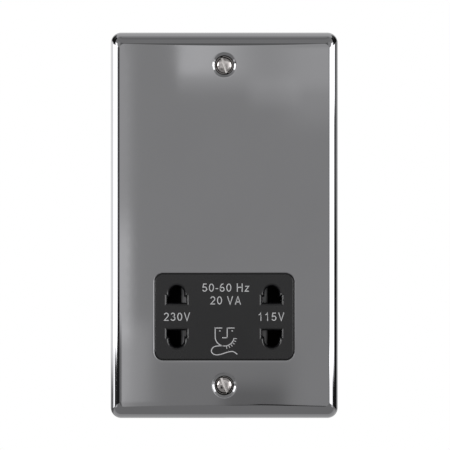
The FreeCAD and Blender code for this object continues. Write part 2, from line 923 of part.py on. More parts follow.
def board_screws():
    """Four long screws through the board and the carrier into the face moulding."""
    screws = []
    for x, z in board_screw_places():
        start_y = insert_rear_y - board_screw_bite + screw_end_room
        shank = rod(x, z, start_y, board_rear_y, board_screw_radius)
        head = rod(x, z, board_rear_y, board_rear_y + board_screw_head_height, board_screw_head)
        half_slot = board_screw_head_height / 5
        slot = box(
            x - board_screw_head,
            x + board_screw_head,
            board_rear_y + board_screw_head_height / 2,
            board_rear_y + board_screw_head_height,
            z - half_slot,
            z + half_slot,
        )
        screws.append(joined([shank, head]).cut(slot))
    return group(screws)


def terminal_screw_z():
    """Height of the terminal screws."""
    return terminal_z + terminal_height / 2


def terminal(x, has_leg):
    """Brass block with a wire bore from below and a screw bore from the rear."""
    body = box(
        x - terminal_width / 2,
        x + terminal_width / 2,
        terminal_y,
        terminal_end_y,
        terminal_z,
        terminal_z + terminal_height,
    )
    bore_y = terminal_y + terminal_bore_offset
    body = body.cut(
        upright_rod(x, bore_y, terminal_z, terminal_z + terminal_bore_depth, terminal_bore_radius)
    )
    screw_bore = terminal_screw_radius + screw_play
    body = body.cut(rod(x, terminal_screw_z(), bore_y, terminal_end_y, screw_bore))
    if has_leg:
        body = body.fuse(rod(x, terminal_screw_z(), board_y, terminal_y, terminal_leg_radius))
    return body


def terminal_screws():
    """Three slotted screws that clamp the wires."""
    screws = []
    start_y = terminal_y + terminal_bore_offset + terminal_bore_radius + screw_play
    end_y = terminal_end_y + terminal_screw_rise
    for x in terminal_places():
        z = terminal_screw_z()
        shank = rod(x, z, start_y, end_y, terminal_screw_radius)
        reach = 2 * terminal_screw_radius
        half_slot = terminal_screw_radius / 4
        slot = box(x - reach, x + reach, end_y - 2 * half_slot, end_y, z - half_slot, z + half_slot)
        screws.append(shank.cut(slot))
    return group(screws)


def terminal_block():
    """Moulding with a pocket for each terminal, open towards the board, and a slot below for its wire."""
    pocket_top = terminal_z + terminal_height + moulding_gap
    block = box(
        -block_half_width,
        block_half_width,
        board_rear_y,
        housing_inner_y,
        housing_bottom_z,
        pocket_top + block_wall,
    )
    bore_y = terminal_y + terminal_bore_offset
    for x in terminal_places():
        half = terminal_width / 2 + moulding_gap
        pocket_end = terminal_end_y + moulding_gap
        block = block.cut(box(x - half, x + half, board_rear_y, pocket_end, strap_z, pocket_top))
        block = block.cut(upright_rod(x, bore_y, housing_bottom_z, strap_z, entry_radius))
        slot_left = x - entry_radius
        slot_right = x + entry_radius
        block = block.cut(box(slot_left, slot_right, board_rear_y, bore_y, housing_bottom_z, strap_z))
        block = block.cut(rod(x, terminal_screw_z(), pocket_end, housing_inner_y, driver_hole_radius))
    for x, z in board_screw_places():
        room = board_screw_head + 2 * moulding_gap
        block = block.cut(rod(x, z, board_rear_y, board_rear_y + 2 * board_screw_head_height, room))
    return block.removeSplitter()


def strap_foot_z():
    """Height where the earth strap turns down onto the plate."""
    liner_clear = housing_bottom_z - housing_wall - 3 * strap_thickness
    flange_clear = insert_z - flange_half_height - 3 * strap_thickness
    return min(liner_clear, flange_clear) - strap_bend - strap_thickness


def earth_strap():
    """Folded strip from under the earth terminal to the inside of the steel plate."""
    half = strap_thickness / 2
    run_z = strap_z + half
    rear_y = terminal_end_y - block_wall
    turn_y = liner_y + ledge_thickness
    foot_z = strap_foot_z()
    points = [
        Vector(terminal_spacing, rear_y, run_z),
        Vector(terminal_spacing, turn_y, run_z),
        Vector(terminal_spacing, turn_y, foot_z),
        Vector(terminal_spacing, sheet_y + half, foot_z),
        Vector(terminal_spacing, sheet_y + half, foot_z - strap_foot),
    ]
    strap = folded_strip(points, strap_thickness, strap_width, strap_bend, Vector(1, 0, 0))
    bore_y = terminal_y + terminal_bore_offset
    hole = upright_rod(terminal_spacing, bore_y, strap_z, terminal_z, entry_radius)
    return strap.cut(hole)


def e_core():
    """Stack of E-shaped steel sheets: a yoke below and three legs."""
    half = core_width / 2
    front = core_centre_y - core_stack / 2
    rear = core_centre_y + core_stack / 2
    bottom = core_centre_z - core_height / 2
    top = core_centre_z + window_half_height
    yoke_top = bottom + core_leg
    pieces = [
        box(-half, half, front, rear, bottom, yoke_top),
        box(-half, core_leg - half, front, rear, yoke_top, top),
        box(half - core_leg, half, front, rear, yoke_top, top),
        box(-core_centre_leg / 2, core_centre_leg / 2, front, rear, yoke_top, top),
    ]
    return joined(pieces)


def i_core():
    """Stack of straight steel sheets that closes the E."""
    half = core_width / 2
    front = core_centre_y - core_stack / 2
    rear = core_centre_y + core_stack / 2
    bottom = core_centre_z + window_half_height
    return box(-half, half, front, rear, bottom, bottom + core_leg)


def coil_sleeve(inner_x, inner_y, thickness, z0, z1, corner):
    """A ring of rounded rectangular section round the core's centre leg."""

    def outline_block(half_x, half_y, radius):
        block = box(
            -half_x, half_x, core_centre_y - half_y, core_centre_y + half_y, z0, z1
        )
        upright = [edge for edge in block.Edges if abs(edge.tangentAt(edge.FirstParameter).z) > 0.9]
        return block.makeFillet(radius, upright)

    outer = outline_block(inner_x + thickness, inner_y + thickness, corner + thickness)
    inner = outline_block(inner_x, inner_y, corner)
    return outer.cut(inner)


def coil_sizes():
    """Half sizes of the bobbin's tube, outside, across and along the stack."""
    half_x = core_centre_leg / 2 + bobbin_gap + bobbin_wall
    half_y = core_stack / 2 + bobbin_gap + bobbin_wall
    return half_x, half_y


def bobbin_levels():
    """Heights of the bobbin's lower end, middle flange and upper end."""
    bottom = core_centre_z - window_half_height + bobbin_gap
    top = core_centre_z + window_half_height - bobbin_gap
    return bottom, core_centre_z - bobbin_flange / 2, top


def bobbin():
    """Moulded former with two sections, so that the two windings lie apart."""
    half_x, half_y = coil_sizes()
    bottom, middle, top = bobbin_levels()
    bore_x = half_x - bobbin_wall
    bore_y = half_y - bobbin_wall
    tube = coil_sleeve(bore_x, bore_y, bobbin_wall, bottom, top, bobbin_corner)
    reach = leg_inner_x - bobbin_gap - half_x
    flanges = []
    for level in (bottom, middle, top - bobbin_flange):
        flange_top = level + bobbin_flange
        flanges.append(coil_sleeve(half_x, half_y, reach, level, flange_top, tube_corner))
    former = joined([tube] + flanges)
    for x, y in bobbin_pin_places():
        former = former.cut(upright_rod(x, y, bottom, bottom + bobbin_flange, bobbin_pin_radius))
    return former


def bobbin_pin_places():
    """The row of pins along the lower flange's rear edge."""
    half_x, half_y = coil_sizes()
    reach = leg_inner_x - bobbin_gap - half_x
    y = core_centre_y + half_y + reach - bobbin_pin_inset
    return [(x, y) for x in lead_places()]


def bobbin_pins():
    """Five tinned pins for the ends of the windings."""
    bottom = bobbin_levels()[0]
    pins = []
    for x, y in bobbin_pin_places():
        pins.append(
            upright_rod(x, y, bottom - bobbin_pin_length, bottom + bobbin_flange, bobbin_pin_radius)
        )
    return group(pins)


def winding(z0, z1):
    """Enamelled wire wound tight, as one ring."""
    half_x, half_y = coil_sizes()
    return coil_sleeve(half_x, half_y, winding_build, z0, z1, tube_corner)


def primary_winding():
    """Mains winding, in the lower section."""
    levels = bobbin_levels()
    return winding(levels[0] + bobbin_flange, levels[1])


def secondary_winding():
    """Tapped output winding, in the upper section."""
    levels = bobbin_levels()
    return winding(levels[1] + bobbin_flange, levels[2] - bobbin_flange)


def winding_tapes():
    """One wrap of tape round each winding."""
    half_x, half_y = coil_sizes()
    bottom, middle, top = bobbin_levels()
    spans = [(bottom + bobbin_flange, middle), (middle + bobbin_flange, top - bobbin_flange)]
    tapes = []
    for low, high in spans:
        tapes.append(
            coil_sleeve(
                half_x + winding_build,
                half_y + winding_build,
                tape_thickness,
                low + tape_margin,
                high - tape_margin,
                tube_corner + winding_build,
            )
        )
    return group(tapes)


def thermal_cutout():
    """Flat cutout that lies on the primary's tape and opens when the winding runs hot."""
    bottom, middle, top = bobbin_levels()
    y = core_centre_y + coil_half_depth
    z = (bottom + bobbin_flange + middle) / 2
    half = cutout_length / 2
    case = box(-half, half, y, y + cutout_thickness, z - cutout_width / 2, z + cutout_width / 2)
    legs = []
    for way in (-1, 1):
        legs.append(
            Part.makeCylinder(
                cutout_leg_radius,
                cutout_leg_length,
                Vector(way * half, y + cutout_thickness / 2, z),
                Vector(way, 0, 0),
            )
        )
    return joined([case] + legs)


def core_clamp():
    """Folded steel channel round the core, with lips front and rear and two feet."""
    half = core_width / 2
    outer = half + clamp_thickness
    front = core_centre_y - core_stack / 2
    rear = core_centre_y + core_stack / 2
    bottom = core_centre_z - core_height / 2
    top = core_centre_z + core_height / 2
    over = top + clamp_thickness
    front_lip = front - clamp_thickness
    rear_lip = rear + clamp_thickness
    pieces = [box(-outer, outer, front_lip, rear_lip, top, over)]
    for side in (-1, 1):
        wall = sorted((side * half, side * outer))
        lip = sorted((side * (half - clamp_lip), side * half))
        foot = sorted((side * outer, side * (outer + clamp_foot_length)))
        pieces.append(box(wall[0], wall[1], front_lip, rear_lip, bottom, top))
        pieces.append(box(lip[0], lip[1], front_lip, front, bottom, top))
        pieces.append(box(lip[0], lip[1], rear, rear_lip, bottom, top))
        foot_bottom = core_centre_z - clamp_foot_width / 2
        foot_top = core_centre_z + clamp_foot_width / 2
        pieces.append(box(foot[0], foot[1], front_lip, front, foot_bottom, foot_top))
    clamp = joined(pieces)
    for side in (-1, 1):
        foot_x = side * (outer + clamp_foot_length / 2)
        clamp = clamp.cut(rod(foot_x, core_centre_z, front_lip, front, clamp_screw_radius + screw_play))
    return clamp


def pan_head_screw(x, z, seat_y, radius, head_radius, head_height, bite):
    """A slotted screw driven forwards from the rear, its head behind the seat."""
    head = rod(x, z, seat_y, seat_y + head_height, head_radius)
    shank = rod(x, z, seat_y - bite, seat_y, radius)
    end_y = seat_y + head_height
    half_slot = head_radius / 8
    slot = box(
        x - 2 * head_radius,
        x + 2 * head_radius,
        end_y - head_height / 2,
        end_y,
        z - half_slot,
        z + half_slot,
    )
    return joined([head, shank]).cut(slot)


def clamp_screws():
    """Two screws that hold the clamp's feet to the liner's posts."""
    seat_y = core_centre_y - core_stack / 2
    screws = []
    for side in (-1, 1):
        x = side * (core_width / 2 + clamp_thickness + clamp_foot_length / 2)
        bite = clamp_screw_bite + clamp_thickness
        screws.append(
            pan_head_screw(
                x,
                core_centre_z,
                seat_y,
                clamp_screw_radius,
                clamp_screw_head,
                clamp_screw_head_height,
                bite,
            )
        )
    return group(screws)


def transformer_lead(index):
    """One insulated wire from a bobbin pin to the board."""
    x, y = bobbin_pin_places()[index]
    start_z = bobbin_levels()[0] - bobbin_pin_length
    end_z = lead_board_z()
    points = [Vector(x, y, start_z), Vector(x, y, end_z), Vector(x, board_rear_y, end_z)]
    return round_wire(points, lead_radius, lead_bend)


def primary_leads():
    """Two wires of the mains winding."""
    return group([transformer_lead(0), transformer_lead(1)])


def secondary_leads():
    """Three wires of the tapped output winding."""
    return group([transformer_lead(2), transformer_lead(3), transformer_lead(4)])


def rear_housing():
    """Moulded box behind the plate, with screw columns, vents, a wire entry and driver holes."""
    shell = rounded_block(0, 0, housing_width, housing_height, housing_corner, liner_y, housing_depth)
    rear_edges = [edge for edge in shell.Edges if edge.BoundBox.YMin > housing_inner_y]
    shell = shell.makeFillet(housing_edge, rear_edges)
    hollow = rounded_block(
        0,
        0,
        housing_width - 2 * housing_wall,
        housing_height - 2 * housing_wall,
        housing_corner - housing_wall,
        liner_y,
        housing_inner_y,
    )
    shell = shell.cut(hollow)
    boss_room = housing_boss_radius + moulding_gap
    bore = housing_screw_radius + 2 * screw_play
    seat_y = housing_boss_end + moulding_gap + housing_screw_seat
    for side in (-1, 1):
        for z in (-column_z, column_z):
            x = side * column_x
            column_start = housing_boss_end + moulding_gap
            shell = shell.fuse(rod(x, z, column_start, housing_inner_y, housing_column_radius))
            shell = shell.cut(rod(x, z, liner_y, column_start, boss_room))
            shell = shell.cut(rod(x, z, column_start, seat_y, bore))
            shell = shell.cut(rod(x, z, seat_y, housing_depth, housing_counterbore))
    for index in range(vent_count):
        z = core_centre_z + (index - (vent_count - 1) / 2) * vent_pitch
        half = vent_width / 2
        shell = shell.cut(
            box(-vent_length / 2, vent_length / 2, housing_inner_y, housing_depth, z - half, z + half)
        )
        outer = housing_width / 2
        side_y = core_centre_y - core_stack / 2
        side_end = core_centre_y + core_stack / 2
        for side in (-1, 1):
            wall = sorted((side * (outer - housing_wall), side * outer))
            shell = shell.cut(box(wall[0], wall[1], side_y, side_end, z - half, z + half))
    bore_y = terminal_y + terminal_bore_offset
    entry_half = entry_radius + moulding_gap
    entry_end_x = max(terminal_places())
    entry = box(
        -entry_end_x,
        entry_end_x,
        bore_y - entry_half,
        bore_y + entry_half,
        -housing_height / 2,
        housing_bottom_z,
    )
    shell = shell.cut(entry)
    for x in terminal_places():
        shell = shell.cut(upright_rod(x, bore_y, -housing_height / 2, housing_bottom_z, entry_half))
        shell = shell.cut(
            rod(x, terminal_screw_z(), housing_inner_y, housing_depth, driver_hole_radius)
        )
    strap_half = strap_width / 2 + strap_gap
    notch = box(
        terminal_spacing - strap_half,
        terminal_spacing + strap_half,
        liner_y,
        liner_y + ledge_thickness + strap_thickness + strap_bend,
        -housing_height / 2,
        housing_bottom_z,
    )
    return shell.cut(notch).removeSplitter()


def housing_screws():
    """Four screws, deep in the housing's columns, that hold it to the liner."""
    seat_y = housing_boss_end + moulding_gap + housing_screw_seat
    bite = housing_screw_bite + housing_screw_seat
    screws = []
    for side in (-1, 1):
        for z in (-column_z, column_z):
            screws.append(
                pan_head_screw(
                    side * column_x,
                    z,
                    seat_y,
                    housing_screw_radius,
                    housing_screw_head,
                    housing_screw_head_height,
                    bite,
                )
            )
    return group(screws)


left_shutter = shutter()
left_spring = shutter_spring()

nodes = {
    "front_plate": front_plate(),
    "plate_liner": plate_liner(),
    "wall_gasket": wall_gasket(),
    "fixing_screws": fixing_screws(),
    "socket_insert": socket_insert(),
    "shutter_230": left_shutter,
    "shutter_115": mirrored(left_shutter),
    "shutter_spring_230": left_spring,
    "shutter_spring_115": mirrored(left_spring),
    "contact_carrier": contact_carrier(),
    "common_contact": common_contact(),
    "contact_230": contact(-1),
    "contact_115": contact(1),
    "switch_body_230": switch_body(-1),
    "switch_body_115": switch_body(1),
    "switch_plunger_230": switch_plunger(-1),
    "switch_plunger_115": switch_plunger(1),
    "switch_pins": switch_pins(),
    "circuit_board": circuit_board(),
    "carrier_screws": board_screws(),
    "terminal_block": terminal_block(),
    "live_terminal": terminal(terminal_places()[0], True),
    "neutral_terminal": terminal(terminal_places()[1], True),
    "earth_terminal": terminal(terminal_places()[2], False),
    "terminal_screws": terminal_screws(),
    "earth_strap": earth_strap(),
    "e_core": e_core(),
    "i_core": i_core(),
    "bobbin": bobbin(),
    "bobbin_pins": bobbin_pins(),
    "primary_winding": primary_winding(),
    "secondary_winding": secondary_winding(),
    "winding_tapes": winding_tapes(),
    "thermal_cutout": thermal_cutout(),
    "core_clamp": core_clamp(),
    "clamp_screws": clamp_screws(),
    "primary_leads": primary_leads(),
    "secondary_leads": secondary_leads(),
    "rear_housing": rear_housing(),
    "housing_screws": housing_screws(),
}

os.makedirs("parts", exist_ok=True)
for name, shape in nodes.items():
    shape.exportStep(os.path.join("parts", name + ".step"))
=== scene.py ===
import math

import bmesh
import bpy
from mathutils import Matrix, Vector
from mathutils.geometry import delaunay_2d_cdt


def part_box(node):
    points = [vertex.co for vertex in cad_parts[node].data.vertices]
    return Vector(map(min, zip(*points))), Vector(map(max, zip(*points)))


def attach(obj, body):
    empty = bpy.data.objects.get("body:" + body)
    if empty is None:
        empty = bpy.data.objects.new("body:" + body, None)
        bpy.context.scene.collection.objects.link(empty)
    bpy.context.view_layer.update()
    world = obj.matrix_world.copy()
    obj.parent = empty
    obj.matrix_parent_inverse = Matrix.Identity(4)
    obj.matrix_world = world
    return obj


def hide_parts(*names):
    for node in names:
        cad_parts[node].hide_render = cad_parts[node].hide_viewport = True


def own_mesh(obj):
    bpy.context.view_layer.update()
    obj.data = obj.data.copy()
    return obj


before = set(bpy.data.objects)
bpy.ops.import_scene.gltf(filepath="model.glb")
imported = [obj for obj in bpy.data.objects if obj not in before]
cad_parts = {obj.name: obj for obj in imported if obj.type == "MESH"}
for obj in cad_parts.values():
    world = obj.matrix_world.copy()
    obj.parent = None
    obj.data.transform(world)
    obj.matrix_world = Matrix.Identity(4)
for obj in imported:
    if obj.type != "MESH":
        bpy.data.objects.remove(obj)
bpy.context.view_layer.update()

# A double-size shaver socket with a black-nickel plate. Sizes are in millimetres, as on its drawings,
# and add_piece turns them into metres. X runs right, Y into the wall and Z up.
MM = 0.001

# Camera: straight in front of the plate, three quarters of a metre away.
# A long lens keeps the plate's sides nearly parallel.
LENS = 157.9
SENSOR = 36.0
CAMERA_PLACE = (0.27, -750, 0.1)


def new_object(name, data):
    """An object in the scene, at the origin."""
    thing = bpy.data.objects.new(name, data)
    bpy.context.scene.collection.objects.link(thing)
    return thing


camera_data = bpy.data.cameras.new("camera")
camera_data.lens = LENS
camera_data.sensor_width = SENSOR
camera = new_object("camera", camera_data)
camera.location = Vector(CAMERA_PLACE) * MM
camera.rotation_euler = (math.radians(90), 0, 0)
bpy.context.scene.camera = camera

# Front plate: one sheet of steel, pressed into a shallow pan with rolled edges, pierced for the
# face moulding, dished for its two screws, polished, and plated with black nickel.
PLATE_HALF_WIDTH = 43.0
PLATE_HALF_HEIGHT = 73.0
PLATE_DEPTH = 7.5
PLATE_CORNER = 4.0
SHEET = 1.0
SIDE_ROLL = 5.25
END_ROLL = 6.81
ROLL_TOP = 7.6
RIM_STRAIGHT = 2.0
CREASE_CORNER = 0.7
FACE_CROWN = 0.15
EDGE_FALL = 0.022
EDGE_FALL_RUN = 0.6
BORDER = 1.5
BORDER_STEPS = (0.12, 0.28, 0.5, 0.8, 1.1, BORDER)
FIXING_Z = 60.3
DISH_RADIUS = 4.55
DISH_HOLE = 2.0
DISH_LIP = 0.7
DISH_ROUNDING = 0.8
DISH_BORDER = 0.6
DISH_SLOPE = 34.0
DISH_WALL_TOP = 3.7
DISH_WALL_FOOT = 3.45
INSERT_Z = -34.4
INSERT_HALF_WIDTH = 26.0
INSERT_HALF_HEIGHT = 16.05
INSERT_CORNER = 3.0
INSERT_GAP = 0.15
WINDOW_ROUNDING = 0.55
WINDOW_BORDER = 1.2
CORNER_STEPS = 24
SIDE_STEPS = 26
ROLL_STEPS = 28
ROUND_STEPS = 12
ROUND_SIDES = 96
FACE_SPACING = 2.5
CREASE_ANGLE = 4.9
CREASE_HALVINGS = 30
LOOP = 4 * (CORNER_STEPS + SIDE_STEPS)
TONGUE_HEIGHTS = (-52, 0, 52)
TONGUE_HALF = 2.95
TONGUE_REACH = 2.55
TONGUE_LAP = 0.3
TONGUE_FRONT = -1.98
TONGUE_REAR = -1.22
TONGUE_EDGE = 0.25
NOISE_SPAN = (0.3, 0.7)
LINE_SPAN = (0.62, 0.8)
CLOUD_TONE = 0.94


def new_material(name):
    """A material with its shader, ready for nodes."""
    material = bpy.data.materials.new(name)
    material.use_nodes = True
    tree = material.node_tree
    return material, tree, tree.nodes["Principled BSDF"]


def value_group(name, inputs, outputs):
    """An empty group of shader nodes that takes numbers and puts out numbers."""
    tree = bpy.data.node_groups.new(name, "ShaderNodeTree")
    for label, value in inputs:
        socket = tree.interface.new_socket(name=label, in_out="INPUT", socket_type="NodeSocketFloat")
        socket.default_value = value
    for label in outputs:
        tree.interface.new_socket(name=label, in_out="OUTPUT", socket_type="NodeSocketFloat")
    return tree, tree.nodes.new("NodeGroupInput"), tree.nodes.new("NodeGroupOutput")


def use_group(tree, group, **values):
    """A group placed in a material, with its values."""
    node = tree.nodes.new("ShaderNodeGroup")
    node.node_tree = group
    for label, value in values.items():
        node.inputs[label].default_value = value
    return node


def add_node(tree, kind, inputs, result):
    """A node with its inputs set to values or wired to sockets, and the socket that it puts out."""
    node = tree.nodes.new(kind)
    for label, value in inputs.items():
        if isinstance(value, bpy.types.NodeSocket):
            tree.links.new(value, node.inputs[label])
        else:
            node.inputs[label].default_value = value
    return node.outputs[result]


def stretched_noise(tree, coordinates, stretch, turn, scale, detail):
    """Noise drawn out along one direction."""
    drawn = {"Vector": coordinates, "Scale": stretch, "Rotation": (0, math.radians(turn), 0)}
    place = add_node(tree, "ShaderNodeMapping", drawn, "Vector")
    return add_node(tree, "ShaderNodeTexNoise", {"Vector": place, "Scale": scale, "Detail": detail}, "Fac")


def map_range(tree, value, low, high, to_low, to_high, ease="LINEAR"):
    """A value moved from one range to another, kept inside it."""
    limits = {"Value": value, "From Min": low, "From Max": high, "To Min": to_low, "To Max": to_high}
    result = add_node(tree, "ShaderNodeMapRange", limits, "Result")
    result.node.interpolation_type = ease
    return result


def math_node(tree, operation, first, second):
    """Two values combined."""
    node = tree.nodes.new("ShaderNodeMath")
    node.operation = operation
    for socket, value in zip(node.inputs, (first, second)):
        if isinstance(value, (int, float)):
            socket.default_value = value
        else:
            tree.links.new(value, socket)
    return node.outputs["Value"]


def tint(tree, shader, mask, first, second):
    """Base colour that goes from the first colour to the second by a mask."""
    mix = tree.nodes.new("ShaderNodeMix")
    mix.data_type = "RGBA"
    factor, first_socket, second_socket = mix.inputs[0], mix.inputs[6], mix.inputs[7]
    first_socket.default_value = (*first, 1)
    second_socket.default_value = (*second, 1)
    tree.links.new(mask, factor)
    tree.links.new(mix.outputs[2], shader.inputs["Base Color"])
    return first_socket


def roughen(tree, shader, mask, span, low, high):
    """Roughness that follows a mask over one span of its values."""
    tree.links.new(map_range(tree, mask, *span, low, high), shader.inputs["Roughness"])


def relief(tree, shader, height, depth, strength=1.0, sunk=False):
    """Fine relief on the surface, raised or sunk."""
    bump = tree.nodes.new("ShaderNodeBump")
    bump.inputs["Strength"].default_value = strength
    bump.inputs["Distance"].default_value = depth * MM
    bump.invert = sunk
    tree.links.new(height, bump.inputs["Height"])
    tree.links.new(bump.outputs["Normal"], shader.inputs["Normal"])


def polish_marks():
    """Hair-fine lines from polishing and a faint cloudiness from handling."""
    tree, _, output = value_group("polish_marks", [], ["Lines", "Cloud"])
    place = tree.nodes.new("ShaderNodeTexCoord").outputs["Object"]
    upright = stretched_noise(tree, place, stretch=(1, 1, 0.03), turn=4, scale=5200, detail=2)
    slanting = stretched_noise(tree, place, stretch=(1, 1, 0.04), turn=-19, scale=4300, detail=2)
    lines = map_range(tree, math_node(tree, "MAXIMUM", upright, slanting), *LINE_SPAN, 0, 1)
    cloud = stretched_noise(tree, place, stretch=(1, 1, 1), turn=0, scale=45, detail=4)
    tree.links.new(lines, output.inputs["Lines"])
    tree.links.new(cloud, output.inputs["Cloud"])
    return tree


marks_group = polish_marks()


def plated_metal(name, colour, roughness, spread, line_depth):
    """Polished or plated metal: its roughness follows the cloudiness and its lines catch the light."""
    material, tree, shader = new_material(name)
    shader.inputs["Metallic"].default_value = 1.0
    marks = use_group(tree, marks_group)
    cloud = marks.outputs["Cloud"]
    tint(tree, shader, cloud, colour, [CLOUD_TONE * part for part in colour])
    roughen(tree, shader, cloud, NOISE_SPAN, roughness - spread, roughness + spread)
    relief(tree, shader, marks.outputs["Lines"], line_depth, strength=0.3, sunk=True)
    return material


def outward(shell):
    """The shell with its faces turned outwards."""
    bmesh.ops.recalc_face_normals(shell, faces=shell.faces)
    return shell


def shell_object(name, shell, material):
    """An object from a mesh drawn in millimetres."""
    mesh = bpy.data.meshes.new(name)
    bmesh.ops.scale(shell, vec=(MM, MM, MM), verts=shell.verts)
    shell.to_mesh(mesh)
    shell.free()
    mesh.materials.append(material)
    return new_object(name, mesh)


def smooth(piece, sharp=28):
    """Smooth shading, with the edges kept that turn more than an angle."""
    piece.data.shade_smooth()
    piece.data.set_sharp_from_angle(angle=math.radians(sharp))


def settle(piece, body, nodes):
    """Gives a finished piece its body and the solids that it replaces."""
    if nodes:
        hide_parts(*nodes)
    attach(piece, body)
    return piece


def add_piece(name, shell, material, body, nodes=()):
    """A finished piece from a mesh drawn in millimetres."""
    piece = shell_object(name, shell, material)
    smooth(piece)
    return settle(piece, body, nodes)


def apply_modifiers(piece):
    """Turns a piece's modifiers into plain mesh."""
    graph = bpy.context.evaluated_depsgraph_get()
    mesh = bpy.data.meshes.new_from_object(piece.evaluated_get(graph))
    piece.modifiers.clear()
    piece.data = mesh


def outline_point(index, half_width, half_height, corner):
    """One of the points round a rectangle with round corners, as (x, z)."""
    quarter, step = divmod(index % LOOP, CORNER_STEPS + SIDE_STEPS)

    def on_corner(which, turned):
        angle = math.radians(90) * (which + turned)
        sign_x = (1, -1, -1, 1)[which % 4]
        sign_z = (1, 1, -1, -1)[which % 4]
        x = sign_x * (half_width - corner) + corner * math.cos(angle)
        z = sign_z * (half_height - corner) + corner * math.sin(angle)
        return Vector((x, z))

    if step <= CORNER_STEPS:
        return on_corner(quarter, step / CORNER_STEPS)
    share = (step - CORNER_STEPS) / SIDE_STEPS
    return on_corner(quarter, 1).lerp(on_corner(quarter + 1, 0), share)


def outline(half_width, half_height, corner, y, middle_z=0):
    """A rectangle with round corners at one depth."""
    points = []
    for index in range(LOOP):
        x, z = outline_point(index, half_width, half_height, corner)
        points.append(Vector((x, y, z + middle_z)))
    return points


def bridge_rows(shell, rows):
    """Bands of faces between closed rows, one after another, and the vertices of all of them."""
    loops = [[shell.verts.new(point) for point in row] for row in rows]
    for first, second in zip(loops, loops[1:]):
        for index in range(len(first)):
            after = (index + 1) % len(first)
            shell.faces.new((first[index], first[after], second[after], second[index]))
    return loops


def inside_rectangle(x, z, half_width, half_height, corner):
    """Whether a place lies within a rectangle with round corners."""
    over_x = max(abs(x) - (half_width - corner), 0)
    over_z = max(abs(z) - (half_height - corner), 0)
    return abs(x) < half_width and abs(z) < half_height and math.hypot(over_x, over_z) < corner


def face_places(outer, in_hole, spacing):
    """Staggered places over a face, clear of its edge and of its holes."""
    limit_x = max(abs(v.co.x) for v in outer)
    limit_z = max(abs(v.co.z) for v in outer)
    keep_off = 0.6 * spacing
    places = []
    for row in range(int(-limit_z / spacing), int(limit_z / spacing) + 1):
        for column in range(int(-limit_x / spacing), int(limit_x / spacing) + 1):
            x = (column + 0.5 * (row % 2)) * spacing
            z = row * spacing
            clear = limit_x - abs(x) > keep_off and limit_z - abs(z) > keep_off
            if clear and not in_hole(x, z, keep_off):
                places.append(Vector((x, z)))
    return places


def fill_between(shell, outer, holes, in_hole, spacing=None, depth_at=None):
    """Triangles inside one closed row of vertices and outside others, fine where a spacing is given."""
    vertices = []
    edges = []
    for loop in [outer] + holes:
        start = len(vertices)
        vertices.extend(loop)
        edges.extend((start + k, start + (k + 1) % len(loop)) for k in range(len(loop)))
    places = [Vector((v.co.x, v.co.z)) for v in vertices]
    if spacing:
        places += face_places(outer, in_hole, spacing)
    new_places, _, triangles, origins = delaunay_2d_cdt(places, edges, [], 1, 1e-5)[:4]
    made = []
    for place, origin in zip(new_places, origins):
        known = [k for k in origin if k < len(vertices)]
        if known:
            made.append(vertices[known[0]])
        else:
            made.append(shell.verts.new((place.x, depth_at(place.x), place.y)))
    for triangle in triangles:
        x = sum(new_places[k].x for k in triangle) / 3
        z = sum(new_places[k].y for k in triangle) / 3
        if not in_hole(x, z, 0):
            shell.faces.new([made[k] for k in triangle])


def crown_y(x):
    """Depth of the crowned face, from side to side."""
    crown_radius = (PLATE_HALF_WIDTH - SIDE_ROLL) ** 2 / (2 * FACE_CROWN)
    return -(PLATE_DEPTH - x * x / (2 * crown_radius))


def face_y(x, to_crease):
    """Depth of the face, which falls a little towards the crease."""
    return crown_y(x) + EDGE_FALL * math.exp(-to_crease / EDGE_FALL_RUN)


def roll_place(index, angle):
    """A place on the rolled edge, at an angle from the rim."""
    share = 1 - math.cos(angle)
    corner = PLATE_CORNER * (1 - share) + CREASE_CORNER * share
    half_width = PLATE_HALF_WIDTH - SIDE_ROLL * share
    half_height = PLATE_HALF_HEIGHT - END_ROLL * share
    x, z = outline_point(index, half_width, half_height, corner)
    return Vector((x, -RIM_STRAIGHT - (ROLL_TOP - RIM_STRAIGHT) * math.sin(angle), z))


def crease_angle(index):
    """How far the edge rolls before it meets the face."""
    low, high = 0.0, math.radians(90)
    for _ in range(CREASE_HALVINGS):
        middle = (low + high) / 2
        place = roll_place(index, middle)
        if place.y > face_y(place.x, 0):
            low = middle
        else:
            high = middle
    return low


def circle(x, z, radius, y, count=ROUND_SIDES):
    """A round row of points facing the room."""
    turns = [2 * math.pi * k / count for k in range(count)]
    return [Vector((x + radius * math.cos(turn), y, z + radius * math.sin(turn))) for turn in turns]


def rounded_edge(reach, steps):
    """Offsets of a quarter round: outwards from the edge, and down."""
    turns = [math.radians(90) * step / steps for step in range(steps + 1)]
    return [(reach * (1 - math.sin(turn)), reach * (1 - math.cos(turn))) for turn in turns]


def on_face(row, fall=0.0):
    """A row of places laid on the crowned face and then sunk."""
    return [Vector((place.x, crown_y(place.x) + fall, place.z)) for place in row]


def dish_profile():
    """Radius and fall down a screw's dish: a soft edge, a cone, a wall and the screw's hole."""
    profile = [(DISH_RADIUS + DISH_BORDER, 0), (DISH_RADIUS + DISH_BORDER * 0.7, 0)]
    slope = math.radians(DISH_SLOPE)
    tangent = DISH_ROUNDING * math.tan(slope / 2)
    for step in range(ROUND_STEPS + 1):
        turn = slope * step / ROUND_STEPS
        reach = DISH_RADIUS + tangent - DISH_ROUNDING * math.sin(turn)
        profile.append((reach, DISH_ROUNDING * (1 - math.cos(turn))))
    profile.append((DISH_WALL_TOP, (DISH_RADIUS - DISH_WALL_TOP) * math.tan(slope)))
    profile.append((DISH_WALL_FOOT, DISH_RADIUS - DISH_WALL_FOOT))
    profile.append((DISH_HOLE, DISH_RADIUS - DISH_HOLE))
    profile.append((DISH_HOLE, DISH_RADIUS - DISH_HOLE + DISH_LIP))
    return profile


